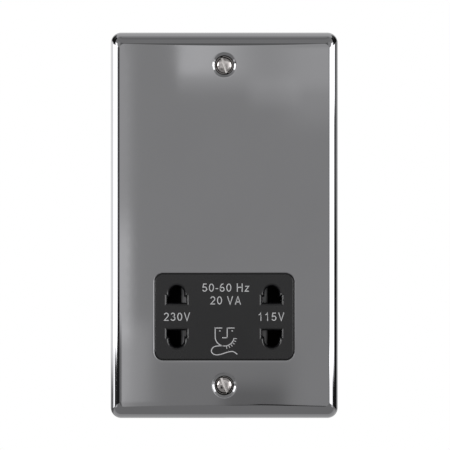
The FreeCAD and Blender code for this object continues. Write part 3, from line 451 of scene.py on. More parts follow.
def plate_shell():
    """The plate's outer skin, before it gets its thickness."""
    shell = bmesh.new()
    rows = [[roll_place(index, 0) + Vector((0, RIM_STRAIGHT, 0)) for index in range(LOOP)]]
    creases = [crease_angle(index) for index in range(LOOP)]
    for step in range(ROLL_STEPS + 1):
        share = step / ROLL_STEPS
        rows.append([roll_place(index, creases[index] * share) for index in range(LOOP)])
    crease = rows[-1]
    inner_width = max(place.x for place in crease) - BORDER
    inner_height = min(abs(place.z) for place in crease if abs(place.x) < 2) - BORDER
    for distance in BORDER_STEPS:
        row = []
        for index in range(LOOP):
            place = Vector((crease[index].x, crease[index].z))
            goal = outline_point(index, inner_width, inner_height, CREASE_CORNER)
            place = place.lerp(goal, distance / BORDER)
            row.append(Vector((place.x, face_y(place.x, distance), place.y)))
        rows.append(row)
    loops = bridge_rows(shell, rows)

    width = INSERT_HALF_WIDTH + INSERT_GAP
    height = INSERT_HALF_HEIGHT + INSERT_GAP
    corner = INSERT_CORNER + INSERT_GAP
    steps = [(WINDOW_ROUNDING + WINDOW_BORDER, 0), (WINDOW_ROUNDING + WINDOW_BORDER / 2, 0)]
    steps += rounded_edge(WINDOW_ROUNDING, 2 * ROUND_STEPS)
    steps.append((0, SHEET))
    rows = []
    for reach, fall in steps:
        row = outline(width + reach, height + reach, corner + reach, 0, INSERT_Z)
        rows.append(on_face(row, fall))
    holes = [bridge_rows(shell, rows)[0]]
    for middle_z in (-FIXING_Z, FIXING_Z):
        rows = [on_face(circle(0, middle_z, radius, 0), fall) for radius, fall in dish_profile()]
        holes.append(bridge_rows(shell, rows)[0])

    def in_hole(x, z, margin):
        spread = WINDOW_ROUNDING + WINDOW_BORDER + margin
        if inside_rectangle(x, z - INSERT_Z, width + spread, height + spread, corner + spread):
            return True
        return any(math.hypot(x, z - way * FIXING_Z) < DISH_RADIUS + DISH_BORDER + margin for way in (-1, 1))

    fill_between(shell, loops[-1], holes, in_hole, FACE_SPACING, crown_y)
    outward(shell)
    shell.faces.ensure_lookup_table()
    if min(shell.faces, key=lambda face: face.calc_center_median().y).normal.y > 0:
        bmesh.ops.reverse_faces(shell, faces=shell.faces)
    return shell


black_nickel = plated_metal("black_nickel", (0.200, 0.200, 0.206), 0.038, 0.01, 0.0006)
plate = add_piece("front_plate_pan", plate_shell(), black_nickel, "base", ["front_plate"])
thickness = plate.modifiers.new("sheet", "SOLIDIFY")
thickness.thickness = SHEET * MM
thickness.offset = -1
thickness.use_even_offset = True
apply_modifiers(plate)

# Painted shadow: each dish's steep wall and foot, down to the screw's hole, gets dull near-black metal that
# stands for the shade in the gap round the screw's head.
dish_gap_painted_shadow = plated_metal("dish_gap_painted_shadow", (0.006, 0.006, 0.006), 0.5, 0.05, 0.0006)
plate.data.materials.append(dish_gap_painted_shadow)
for face in plate.data.polygons:
    middle = face.center / MM
    if math.hypot(middle.x, abs(middle.z) - FIXING_Z) < DISH_WALL_TOP:
        face.material_index = 1
smooth(plate, CREASE_ANGLE)


def rounded_slab(shell, low, high, edge, segments):
    """A block between two corners with all its edges rounded."""
    made = bmesh.ops.create_cube(shell, size=1)
    corners = made["verts"]
    size = Vector(high) - Vector(low)
    bmesh.ops.scale(shell, vec=size, verts=corners)
    bmesh.ops.translate(shell, vec=(Vector(low) + Vector(high)) / 2, verts=corners)
    edges = list({edge_line for corner in corners for edge_line in corner.link_edges})
    bmesh.ops.bevel(
        shell, geom=edges, offset=edge, segments=segments, profile=0.5, affect="EDGES", clamp_overlap=True
    )


def plate_tongues():
    """Six tongues of the same sheet, folded over the liner's rim."""
    shell = bmesh.new()
    wall = PLATE_HALF_WIDTH - SHEET
    for side in (-1, 1):
        for z in TONGUE_HEIGHTS:
            left, right = sorted((side * (wall - TONGUE_REACH), side * (wall + TONGUE_LAP)))
            low = (left, TONGUE_FRONT, z - TONGUE_HALF)
            high = (right, TONGUE_REAR, z + TONGUE_HALF)
            rounded_slab(shell, low, high, TONGUE_EDGE, 3)
    return shell


add_piece("front_plate_tongues", plate_tongues(), black_nickel, "base", ["front_plate"])

# Face moulding: black plastic with four pin holes, each with a lead-in that starts shallow and
# steepens. It is moulded in one piece, with a flange that lies behind the plate.
INSERT_FRONT = -7.65
INSERT_REAR = -3.4
INSERT_EDGE = 0.3
FLANGE_HALF = (28.15, 18.2)
GUIDE_HALF = (26.25, 14.2)
FLANGE_CORNER = 0.3
FLANGE_FRONT = -6.5
FLANGE_REAR = -4.5
OUTLET_X = 17.85
PIN_HALF = 2.75
PIN_END = 11.5
BLADE_HALF = 3.55
BLADE_START = 5.2
BLADE_END = 7.5
LEAD_IN = 0.95
LEAD_IN_DEPTH = 1.1
LEAD_IN_BREAK = (0.48, 0.36)
LEAD_IN_SOFT = 0.05
FLAT_RING = 0.06
FLOW_SCALE = 60
FLOW_TONE = 0.86
GRAIN_SCALE = 3000.0


def moulded_grain():
    """The faint spark-eroded texture of a mould, and a slow change of tone from its flow."""
    tree, entry, output = value_group("moulded_grain", [("Scale", GRAIN_SCALE)], ["Height", "Tone"])
    place = tree.nodes.new("ShaderNodeTexCoord").outputs["Object"]
    for label, scale in (("Height", entry.outputs["Scale"]), ("Tone", FLOW_SCALE)):
        noise = add_node(tree, "ShaderNodeTexNoise", {"Vector": place, "Scale": scale, "Detail": 3}, "Fac")
        tree.links.new(noise, output.inputs[label])
    return tree


grain_group = moulded_grain()


def moulded_plastic(name, colour, roughness, grain_depth, grain_scale=GRAIN_SCALE, shine=0.5):
    """Moulded plastic with a fine grain."""
    material, tree, shader = new_material(name)
    shader.inputs["Specular IOR Level"].default_value = shine
    grain = use_group(tree, grain_group, Scale=grain_scale)
    tone = grain.outputs["Tone"]
    tint(tree, shader, tone, colour, [FLOW_TONE * part for part in colour])
    roughen(tree, shader, tone, NOISE_SPAN, roughness - 0.04, roughness + 0.05)
    relief(tree, shader, grain.outputs["Height"], grain_depth, strength=0.5)
    return material


def pin_hole_row(x, way, grow, y):
    """The outline of a pin hole: a domed end, and a wider inner end for flat blades."""
    half_pin = PIN_HALF + grow
    half_blade = BLADE_HALF + grow
    dome = PIN_END - PIN_HALF
    start = BLADE_START - grow
    step = BLADE_END + grow
    places = [(-half_blade, start), (0, start), (half_blade, start), (half_blade, step), (half_pin, step)]
    arc_steps = 16
    for k in range(arc_steps + 1):
        turn = math.pi * k / arc_steps
        places.append((half_pin * math.cos(turn), dome + half_pin * math.sin(turn)))
    places += [(-half_pin, step), (-half_blade, step)]
    return [Vector((x + dx, y, INSERT_Z + way * dz)) for dx, dz in places]


def in_pin_hole(grow):
    """A test for places within any pin hole, made wider all round."""
    def test(x, z, margin):
        reach = grow + margin
        dx = abs(abs(x) - OUTLET_X)
        dz = abs(z - INSERT_Z)
        dome = PIN_END - PIN_HALF
        blade = dx < BLADE_HALF + reach and BLADE_START - reach < dz < BLADE_END + reach
        shaft = dx < PIN_HALF + reach and BLADE_START - reach < dz < dome
        return blade or shaft or math.hypot(dx, dz - dome) < PIN_HALF + reach
    return test


def insert_shell():
    """The whole moulding as one closed shell."""
    shell = bmesh.new()
    rows = []
    for reach, fall in [(INSERT_EDGE + FLAT_RING, 0)] + rounded_edge(INSERT_EDGE, ROUND_STEPS):
        half_width = INSERT_HALF_WIDTH - reach
        half_height = INSERT_HALF_HEIGHT - reach
        rows.append(outline(half_width, half_height, INSERT_CORNER - reach, INSERT_FRONT + fall, INSERT_Z))
    rows.append(outline(INSERT_HALF_WIDTH, INSERT_HALF_HEIGHT, INSERT_CORNER, FLANGE_FRONT, INSERT_Z))
    for half, y in (
        (FLANGE_HALF, FLANGE_FRONT),
        (FLANGE_HALF, FLANGE_REAR),
        (GUIDE_HALF, FLANGE_REAR),
        (GUIDE_HALF, INSERT_REAR),
    ):
        rows.append(outline(*half, FLANGE_CORNER, y, INSERT_Z))
    loops = bridge_rows(shell, rows)
    front_holes = []
    rear_holes = []
    mouth = LEAD_IN + LEAD_IN_SOFT + FLAT_RING
    lead_in = [(mouth, 0), (LEAD_IN + LEAD_IN_SOFT, 0), (LEAD_IN - LEAD_IN_SOFT, LEAD_IN_SOFT)]
    lead_in += [LEAD_IN_BREAK, (0, LEAD_IN_DEPTH), (0, INSERT_REAR - INSERT_FRONT)]
    for side in (-1, 1):
        for way in (-1, 1):
            steps = [pin_hole_row(side * OUTLET_X, way, grow, INSERT_FRONT + fall) for grow, fall in lead_in]
            hole = bridge_rows(shell, steps)
            front_holes.append(hole[0])
            rear_holes.append(hole[-1])
    fill_between(shell, loops[0], front_holes, in_pin_hole(mouth))
    fill_between(shell, loops[-1], rear_holes, in_pin_hole(0))
    return outward(shell)


face_black = moulded_plastic("face_black", (0.0035, 0.0035, 0.0042), 0.24, 0.002, shine=0.33)
add_piece("socket_insert_face", insert_shell(), face_black, "base", ["socket_insert"])

# Print: the two voltages, the supply they take, and a line sign of a face with a cord, pad-printed
# in pale grey ink that stands a few hundredths of a millimetre proud of the moulding.
INK_HEIGHT = 0.025
LINE_WIDTH = 0.34
LETTER_HEIGHT = 3.15
LETTER_LINE = 0.35
LETTER_SPREAD = 1.04
INK_PALE = (0.47, 0.47, 0.48)
INK_THIN = (0.3, 0.3, 0.31)


def ink_material():
    """Pad-printing ink: matt, with pinholes where the pad lifted."""
    material, tree, shader = new_material("ink_grey")
    grain = use_group(tree, grain_group, Scale=5200.0)
    fleck = map_range(tree, grain.outputs["Height"], 0.3, 0.52, 0, 1)
    tint(tree, shader, fleck, INK_THIN, INK_PALE)
    roughen(tree, shader, grain.outputs["Tone"], NOISE_SPAN, 0.5, 0.62)
    return material


def ribbon(shell, places, width):
    """A flat ink line of one width along a row of places, closed all round."""
    count = len(places)
    rails = []
    for index, place in enumerate(places):
        before = (place - places[index - 1]).normalized() if index else None
        after = (places[index + 1] - place).normalized() if index < count - 1 else None
        along = ((before or after) + (after or before)).normalized()
        side = Vector((-along.y, along.x))
        straight = after or before
        narrow = max(side.dot(Vector((-straight.y, straight.x))), 0.5)
        side *= width / 2 / narrow
        rails.append((place + side, place - side))
    levels = (INSERT_FRONT, INSERT_FRONT - INK_HEIGHT)
    rows = [[[shell.verts.new((p.x, y, p.y)) for p in pair] for pair in rails] for y in levels]
    for index in range(count - 1):
        low_a, low_b = rows[0][index], rows[0][index + 1]
        top_a, top_b = rows[1][index], rows[1][index + 1]
        shell.faces.new((low_a[0], low_b[0], low_b[1], low_a[1]))
        shell.faces.new((top_a[0], top_a[1], top_b[1], top_b[0]))
        shell.faces.new((low_a[0], top_a[0], top_b[0], low_b[0]))
        shell.faces.new((low_a[1], low_b[1], top_b[1], top_a[1]))
    for index in (0, count - 1):
        shell.faces.new((rows[0][index][0], rows[0][index][1], rows[1][index][1], rows[1][index][0]))


def smooth_path(places, steps):
    """A smooth line through a row of places."""
    path = []
    extended = [2 * places[0] - places[1]] + places + [2 * places[-1] - places[-2]]
    for index in range(1, len(extended) - 2):
        p0, p1, p2, p3 = extended[index - 1:index + 3]
        for step in range(steps):
            t = step / steps
            bend = (2 * p0 - 5 * p1 + 4 * p2 - p3) * t * t + (3 * p1 - p0 - 3 * p2 + p3) * t ** 3
            path.append(0.5 * (2 * p1 + (p2 - p0) * t + bend))
    path.append(places[-1])
    return path


def arc(x, z, half_width, half_height, start, end):
    """Part of an oval, by its angles in degrees."""
    steps = 18
    turns = [math.radians(start + (end - start) * step / steps) for step in range(steps + 1)]
    return [(x + half_width * math.cos(turn), z + half_height * math.sin(turn)) for turn in turns]


# Each letter's strokes, in a cell one unit high, with its own width.
LETTERS = {
    "0": (0.77, [arc(0.385, 0.5, 0.245, 0.43, 90, 450)]),
    "1": (0.77, [[(0.17, 0.72), (0.3, 0.78), (0.40, 0.93), (0.42, 1.0), (0.42, 0.0)]]),
    "2": (0.77, [arc(0.38, 0.68, 0.235, 0.25, 170, -35) + [(0.14, 0.07), (0.66, 0.07)]]),
    "3": (0.77, [arc(0.37, 0.725, 0.2, 0.205, 165, -90), arc(0.37, 0.29, 0.245, 0.225, 90, -165)]),
    "5": (0.77, [[(0.6, 0.93), (0.24, 0.93), (0.18, 0.52)] + arc(0.375, 0.325, 0.245, 0.255, 125, -160)]),
    "6": (0.77, [arc(0.385, 0.3, 0.235, 0.235, 180, -180), arc(0.46, 0.32, 0.31, 0.615, 75, 180)]),
    "V": (0.9, [[(0.14, 1.0), (0.45, 0.03), (0.76, 1.0)]]),
    "A": (0.9, [[(0.14, 0.0), (0.45, 0.97), (0.76, 0.0)], [(0.25, 0.31), (0.65, 0.31)]]),
    "H": (0.98, [[(0.2, 0.0), (0.2, 1.0)], [(0.78, 0.0), (0.78, 1.0)], [(0.2, 0.53), (0.78, 0.53)]]),
    "z": (0.68, [[(0.12, 0.66), (0.54, 0.66), (0.11, 0.07), (0.56, 0.07)]]),
    "-": (0.46, [[(0.08, 0.38), (0.38, 0.38)]]),
    " ": (0.38, []),
}


def printed_word(word, x, z):
    """A word with its middle at one place."""
    shell = bmesh.new()
    start = x - sum(LETTERS[letter][0] for letter in word) * LETTER_HEIGHT * LETTER_SPREAD / 2
    for letter in word:
        width, strokes = LETTERS[letter]
        for stroke in strokes:
            places = [
                Vector((start + dx * LETTER_HEIGHT, z + (dz - 0.5) * LETTER_HEIGHT)) for dx, dz in stroke
            ]
            ribbon(shell, places, LETTER_LINE)
        start += width * LETTER_HEIGHT * LETTER_SPREAD
    return outward(shell)


ink_grey = ink_material()
for label, word, x, z in (
    ("print_230", "230V", -17.75, 0.0),
    ("print_115", "115V", 17.7, 0.0),
    ("print_supply", "50-60 Hz", 0.57, 10.95),
    ("print_power", "20 VA", 0.57, 6.15),
):
    add_piece(label, printed_word(word, x, INSERT_Z + z), ink_grey, "base")

SIGN_DROP = 8.2
JAW_MIDDLE = (0.1, 0.55)
JAW_HALF = 3.52
JAW_DROP = 3.36
BROW = 3.96
EYE_HALF = 0.26
EYE_LINE = 0.4
TICKS = 6
TICK_START = 281
TICK_SPREAD = 71
TICK_LENGTH = 1.15
TICK_LINE = 0.26
CORD_STEPS = 8


def shaver_sign():
    """The sign: half a face in plain lines, stubble on its jaw, and a cord that loops below."""
    shell = bmesh.new()
    middle_z = INSERT_Z - SIGN_DROP

    def stroke(places, width=LINE_WIDTH):
        ribbon(shell, [Vector((x, middle_z + z)) for x, z in places], width)

    jaw_x, jaw_z = JAW_MIDDLE
    stroke([(jaw_x - JAW_HALF, BROW)] + arc(jaw_x, jaw_z, JAW_HALF, JAW_DROP, 180, 352))
    stroke([(jaw_x - JAW_HALF - 0.2, BROW), (-0.75, BROW)])
    stroke([(1.09, 4.16), (1.09, 0.09)])
    stroke([(1.29, 0.29), (-0.75, 0.29)])
    stroke([(0.89, BROW), (3.9, BROW)])
    for x in (-1.69, 3.01):
        stroke([(x - EYE_HALF, 2.87), (x + EYE_HALF, 2.87)], EYE_LINE)
    for step in range(TICKS):
        turn = math.radians(TICK_START + TICK_SPREAD * step / (TICKS - 1))
        out_x, out_z = math.cos(turn), math.sin(turn)
        x, z = jaw_x + out_x * JAW_HALF, jaw_z + out_z * JAW_DROP
        stroke([(x, z), (x + out_x * TICK_LENGTH, z + out_z * TICK_LENGTH)], TICK_LINE)
    cord = [(-0.4, -2.8), (-2.2, -2.75), (-4.0, -3.2), (-4.86, -4.5), (-4.3, -5.7), (-2.94, -6.15)]
    cord += [(-1.2, -5.9), (0.41, -5.37), (2.0, -4.95), (3.46, -4.95), (4.89, -5.94)]
    path = smooth_path([Vector(place) for place in cord], CORD_STEPS)
    stroke([(place.x, place.y) for place in path])
    return outward(shell)


add_piece("print_sign", shaver_sign(), ink_grey, "base")

# Fixing screws: two M3.5 raised countersunk screws with one slot, bright nickel on steel.
# Their thread is rolled, so its ridge stands a little above the shank.
SCREW_HEAD = 3.3
SCREW_RISE = 0.9
SCREW_NECK = 1.35
SCREW_THREAD_START = -2.85
SCREW_END = 18.75
SCREW_CORE = 1.45
SCREW_RADIUS = 1.75
THREAD_PITCH = 0.6
HEAD_EDGE_Y = -6.25
SCREW_SLOPES = ((0.0, 0.0), (1.95, 8.0), (2.1, 31.0), (2.8, 34.0), (3.15, 40.0), (3.27, 75.0))
SLOPE_STEPS = 8
HEAD_EDGE_BREAK = 0.05
NECK_OVERLAP = 0.3
SLOT_HALF = 0.45
SLOT_DEPTH = 1.25
SLOT_EDGE = 0.1
SLOT_FOOT = 0.08
SLOT_EDGE_ANGLE = 40
HEAD_SHARP_ANGLE = 35
CUTTER_START = 1.0
TURN_STEPS = 32
RIDGE_SIDES = 6
CORE_SIDES = 40


def screw_head_shell(middle_z):
    """A raised head with its cone and neck, turned round the screw's axis."""
    top = HEAD_EDGE_Y - SCREW_RISE
    profile = []
    radius, depth = 0.0, top
    for (start, gentle), (end, steep) in zip(SCREW_SLOPES, SCREW_SLOPES[1:]):
        for step in range(SLOPE_STEPS):
            slope = gentle + (steep - gentle) * (step + 0.5) / SLOPE_STEPS
            radius += (end - start) / SLOPE_STEPS
            depth += (end - start) / SLOPE_STEPS * math.tan(math.radians(slope))
            profile.append((radius, min(depth, HEAD_EDGE_Y)))
    profile.append((SCREW_HEAD, HEAD_EDGE_Y + HEAD_EDGE_BREAK))
    profile.append((SCREW_HEAD - HEAD_EDGE_BREAK, HEAD_EDGE_Y + 2 * HEAD_EDGE_BREAK))
    profile.append((SCREW_NECK, HEAD_EDGE_Y + SCREW_HEAD - SCREW_NECK))
    profile.append((SCREW_NECK, SCREW_THREAD_START + NECK_OVERLAP))
    shell = bmesh.new()
    loops = bridge_rows(shell, [circle(0, middle_z, radius, y) for radius, y in profile])
    tip = shell.verts.new((0, top, middle_z))
    for index in range(ROUND_SIDES):
        shell.faces.new((loops[0][index], tip, loops[0][(index + 1) % ROUND_SIDES]))
    shell.faces.new(loops[-1])
    return outward(shell)


def slot_cutter(middle_z, lean):
    """The saw's path through one head."""
    shell = bmesh.new()
    front = HEAD_EDGE_Y - SCREW_RISE - CUTTER_START
    low = (-SLOT_HALF, front, -2 * SCREW_HEAD)
    high = (SLOT_HALF, front + CUTTER_START + SLOT_DEPTH, 2 * SCREW_HEAD)
    rounded_slab(shell, low, high, SLOT_FOOT, 2)
    turn = math.radians(lean)
    for v in shell.verts:
        x, z = v.co.x, v.co.z
        v.co.x = x * math.cos(turn) - z * math.sin(turn)
        v.co.z = x * math.sin(turn) + z * math.cos(turn) + middle_z
    return shell_object("slot_cutter", shell, slot_painted_highlight)


bright_nickel = plated_metal("bright_nickel", (0.27, 0.255, 0.25), 0.09, 0.025, 0.0012)
# The slot's faces take a paler, rougher copy of the nickel; the paler colour is a painted highlight.
slot_painted_highlight = plated_metal("slot_painted_highlight", (0.5, 0.48, 0.47), 0.34, 0.05, 0.003)
for label, middle_z, lean in (("upper", FIXING_Z, 19.0), ("lower", -FIXING_Z, 23.0)):
    head = add_piece(
        f"fixing_screw_head_{label}",
        screw_head_shell(middle_z),
        bright_nickel,
        "base",
        ["fixing_screws"],
    )
    cutter = slot_cutter(middle_z, lean)
    cut = head.modifiers.new("slot", "BOOLEAN")
    cut.operation = "DIFFERENCE"
    cut.object = cutter
    cut.solver = "EXACT"
    cut.material_mode = "TRANSFER"
    bevel = head.modifiers.new("broken_edge", "BEVEL")
    bevel.width = SLOT_EDGE * MM
    bevel.segments = 2
    bevel.limit_method = "ANGLE"
    bevel.angle_limit = math.radians(SLOT_EDGE_ANGLE)
    apply_modifiers(head)
    head.data.set_sharp_from_angle(angle=math.radians(HEAD_SHARP_ANGLE))
    bpy.data.objects.remove(cutter)


def geometry_tree(name, sizes):
    """An empty tree of geometry nodes with named sizes and a material."""
    tree = bpy.data.node_groups.new(name, "GeometryNodeTree")
    tree.interface.new_socket(name="Geometry", in_out="INPUT", socket_type="NodeSocketGeometry")
    for label in sizes:
        tree.interface.new_socket(name=label, in_out="INPUT", socket_type="NodeSocketFloat")
    tree.interface.new_socket(name="Material", in_out="INPUT", socket_type="NodeSocketMaterial")
    tree.interface.new_socket(name="Geometry", in_out="OUTPUT", socket_type="NodeSocketGeometry")
    return tree, tree.nodes.new("NodeGroupInput"), tree.nodes.new("NodeGroupOutput")


def thread_tree():
    """A shank with a helical ridge, repeated at two places."""
    sizes = ("Core Radius", "Thread Radius", "Pitch", "Length", "Spacing")
    tree, entry, output = geometry_tree("rolled_thread", sizes)
    core_radius, thread_radius, pitch, length, spacing = [entry.outputs[label] for label in sizes]

    def add(kind, result, **inputs):
        inputs = {label.replace("_", " "): value for label, value in inputs.items()}
        return add_node(tree, kind, inputs, result)

    turns = math_node(tree, "DIVIDE", length, pitch)
    middle = math_node(tree, "MULTIPLY", math_node(tree, "ADD", core_radius, thread_radius), 0.5)
    spiral = add(
        "GeometryNodeCurveSpiral",
        "Curve",
        Resolution=TURN_STEPS,
        Rotations=turns,
        Start_Radius=middle,
        End_Radius=middle,
        Height=length,
    )
    height = math_node(tree, "SUBTRACT", thread_radius, middle)
    ridge = add("GeometryNodeCurvePrimitiveCircle", "Curve", Resolution=RIDGE_SIDES, Radius=height)
    wound = add("GeometryNodeCurveToMesh", "Mesh", Curve=spiral, Profile_Curve=ridge, Fill_Caps=True)
    core = add("GeometryNodeMeshCylinder", "Mesh", Vertices=CORE_SIDES, Radius=core_radius, Depth=length)
    lift = add("ShaderNodeCombineXYZ", "Vector", Z=math_node(tree, "MULTIPLY", length, 0.5))
    placed = add("GeometryNodeTransform", "Geometry", Geometry=core, Translation=lift)
    both = add("GeometryNodeJoinGeometry", "Geometry", Geometry=wound)
    tree.links.new(placed, both.node.inputs["Geometry"])
    into_wall = (math.radians(-90), 0, 0)
    turned = add("GeometryNodeTransform", "Geometry", Geometry=both, Rotation=into_wall)
    offset = add("ShaderNodeCombineXYZ", "Vector", Z=spacing)
    row = add("GeometryNodeMeshLine", "Mesh", Count=2, Offset=offset)
    repeated = add("GeometryNodeInstanceOnPoints", "Instances", Points=row, Instance=turned)
    real = add("GeometryNodeRealizeInstances", "Geometry", Geometry=repeated)
    finish = add("GeometryNodeSetMaterial", "Geometry", Geometry=real, Material=entry.outputs["Material"])
    tree.links.new(finish, output.inputs["Geometry"])
    return tree


def grown_piece(name, tree, values, place, body, nodes):
    """A piece made by a tree of geometry nodes, turned into plain mesh and put in its place."""
    piece = new_object(name, bpy.data.meshes.new(name))
    modifier = piece.modifiers.new("nodes", "NODES")
    modifier.node_group = tree
    for item in tree.interface.items_tree:
        if item.item_type == "SOCKET" and item.in_out == "INPUT" and item.name in values:
            modifier[item.identifier] = values[item.name]
    apply_modifiers(piece)
    for v in piece.data.vertices:
        v.co += Vector(place) * MM
    smooth(piece)
    return settle(piece, body, nodes)


grown_piece(
    "fixing_screw_shanks",
    thread_tree(),
    {
        "Core Radius": SCREW_CORE * MM,
        "Thread Radius": SCREW_RADIUS * MM,
        "Pitch": THREAD_PITCH * MM,
        "Length": (SCREW_END - SCREW_THREAD_START) * MM,
        "Spacing": 2 * FIXING_Z * MM,
        "Material": bright_nickel,
    },
    (0, SCREW_THREAD_START, -FIXING_Z),
    "base",
    ["fixing_screws"],
)

# Liner and carrier: two trays moulded in black plastic. The liner fills the steel pan and carries the
# transformer and the housing. The carrier holds shutters, contacts and switches, and four long
# screws clamp it between the board and the face moulding.
def dress(material, *nodes):
    """Gives solids their finish."""
    for node in nodes:
        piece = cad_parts[node]
        piece.data.materials.clear()
        piece.data.materials.append(material)


liner_black = moulded_plastic("liner_black", (0.022, 0.022, 0.023), 0.48, 0.01, 2200.0)
carrier_black = moulded_plastic("carrier_black", (0.03, 0.03, 0.032), 0.5, 0.01, 2200.0)
dress(liner_black, "plate_liner")
dress(carrier_black, "contact_carrier")

# Shutters: one for each voltage, moulded in dark grey plastic with a slippery ramp at each pin hole.
# The pins push on the ramps and slide the shutter aside, and its cam then presses its switch.
# The pale grey on the ramps is a painted highlight, laid on faces that lean sideways and face the room.
SHUTTER_GREY = (0.002, 0.002, 0.0022)
RAMP_PAINTED_HIGHLIGHT = (0.26, 0.26, 0.265)
RAMP_LEAN = (0.1, 0.25)
RAMP_FACING = (-0.15, -0.05)
RAMP_END = (15.6 * MM, 16.5 * MM)


def shutter_plastic_with_painted_highlight():
    """Dark plastic with a painted highlight: pale grey on its ramps, where they lean sideways and face the
    room.
    """
    material = moulded_plastic("shutter_grey", SHUTTER_GREY, 0.2, 0.001, shine=0.2)
    tree = material.node_tree
    shader = tree.nodes["Principled BSDF"]
    surface = tree.nodes.new("ShaderNodeTexCoord")
    facing = tree.nodes.new("ShaderNodeSeparateXYZ")
    tree.links.new(surface.outputs["Normal"], facing.inputs["Vector"])
    place_x = add_node(tree, "ShaderNodeSeparateXYZ", {"Vector": surface.outputs["Object"]}, "X")
    sideways = math_node(tree, "ABSOLUTE", facing.outputs["X"], 0.0)
    off_middle = math_node(tree, "ABSOLUTE", place_x, 0.0)
    leaning = map_range(tree, sideways, *RAMP_LEAN, 0, 1)
    toward_room = map_range(tree, facing.outputs["Y"], *RAMP_FACING, 1, 0)
    # painted highlight mask: faces that lean sideways and face the room, near the outlets
    ramp_painted_highlight = math_node(tree, "MULTIPLY", leaning, toward_room)
    ramp_painted_highlight = math_node(tree, "MULTIPLY", ramp_painted_highlight, map_range(tree, off_middle, *RAMP_END, 1, 0))
    plain = shader.inputs["Base Color"].links[0].from_socket
    under = tint(tree, shader, ramp_painted_highlight, SHUTTER_GREY, RAMP_PAINTED_HIGHLIGHT)
    tree.links.new(plain, under)
    return material


dress(shutter_plastic_with_painted_highlight(), "shutter_230", "shutter_115")

# Shutter springs: hard-drawn steel wire, wound and cut square, each between its shutter's pocket and
# the carrier's middle wall. They close up as their shutter opens.
SPRING_WIRE = 0.4
SPRING_TURNS = 6
SPRING_STEPS = 24
WIRE_SIDES = 10


def coil_shell(low, high):
    """A round wire wound along X."""
    coil_radius = (high.z - low.z - SPRING_WIRE) / 2
    middle = (low + high) / 2
    steps = SPRING_TURNS * SPRING_STEPS
    rows = []
    for step in range(steps + 1):
        share = step / steps
        turn = 2 * math.pi * SPRING_TURNS * share
        along = low.x + SPRING_WIRE / 2 + (high.x - low.x - SPRING_WIRE) * share
        spoke = Vector((0, math.cos(turn), math.sin(turn)))
        centre = Vector((along, middle.y, middle.z)) + spoke * coil_radius
        row = []
        for side in range(WIRE_SIDES):
            angle = 2 * math.pi * side / WIRE_SIDES
            offset = spoke * math.cos(angle) + Vector((math.sin(angle), 0, 0))
            row.append(centre + offset * SPRING_WIRE / 2)
        rows.append(row)
    shell = bmesh.new()
    loops = bridge_rows(shell, rows)
    shell.faces.new(loops[0])
    shell.faces.new(loops[-1])
    return outward(shell)


spring_steel = plated_metal("spring_steel", (0.42, 0.42, 0.41), 0.25, 0.05, 0.003)
for voltage, fixed_end in (("230", 1), ("115", 0)):
    node = f"shutter_spring_{voltage}"
    ends = [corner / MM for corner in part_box(node)]
    coil = add_piece(f"{node}_coil", coil_shell(*ends), spring_steel, "base", [node])
    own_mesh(coil)

# Contacts, terminals, pins and screws: the contacts are folded from bronze strip, the terminals are
# cut from brass bar, and the rest is tinned or zinc-plated. Each metal has its own tone.
for name, colour, roughness, nodes in (
    ("contact_bronze", (0.62, 0.36, 0.18), 0.26, ("common_contact", "contact_230", "contact_115")),
    ("terminal_brass", (0.66, 0.5, 0.22), 0.28, ("live_terminal", "neutral_terminal", "earth_terminal")),
    ("tinned_metal", (0.66, 0.66, 0.64), 0.3, ("switch_pins", "bobbin_pins", "earth_strap")),
    ("zinc_steel", (0.55, 0.55, 0.54), 0.33,
     ("carrier_screws", "terminal_screws", "core_clamp", "clamp_screws", "housing_screws")),
):
    dress(plated_metal(name, colour, roughness, 0.05, 0.003), *nodes)

# Switches: two sealed switches soldered to the board. Each has a dark moulded case, and a white
# plunger whose round nose rests in its shutter's cam.
switch_case = moulded_plastic("switch_case", (0.05, 0.05, 0.06), 0.4, 0.004)
plunger_white = moulded_plastic("plunger_white", (0.75, 0.75, 0.73), 0.3, 0.002)
dress(switch_case, "switch_body_230", "switch_body_115")
dress(plunger_white, "switch_plunger_230", "switch_plunger_115")

# Transformer and board: core steel stacked in a folded clamp, with two windings of enamelled copper
# on a nylon bobbin. Yellow tape wraps each winding, a cutout lies on the primary's tape, and insulated
# leads run to a green laminate board behind the carrier.
WAVE_PERIOD = 0.314


def layered_material(name, axis, pitch, dark, light, metallic, roughness, depth):
    """A stack or winding: fine lines across one axis."""
    material, tree, shader = new_material(name)
    shader.inputs["Metallic"].default_value = metallic
    place = tree.nodes.new("ShaderNodeTexCoord").outputs["Object"]
    lines = {"Vector": place, "Scale": WAVE_PERIOD / (pitch * MM), "Distortion": 0.6, "Detail": 2}
    wave = add_node(tree, "ShaderNodeTexWave", lines, "Fac")
    wave.node.bands_direction = axis
    tint(tree, shader, wave, dark, light)
    roughen(tree, shader, wave, (0, 1), roughness + 0.08, roughness)
    relief(tree, shader, wave, depth)
    return material


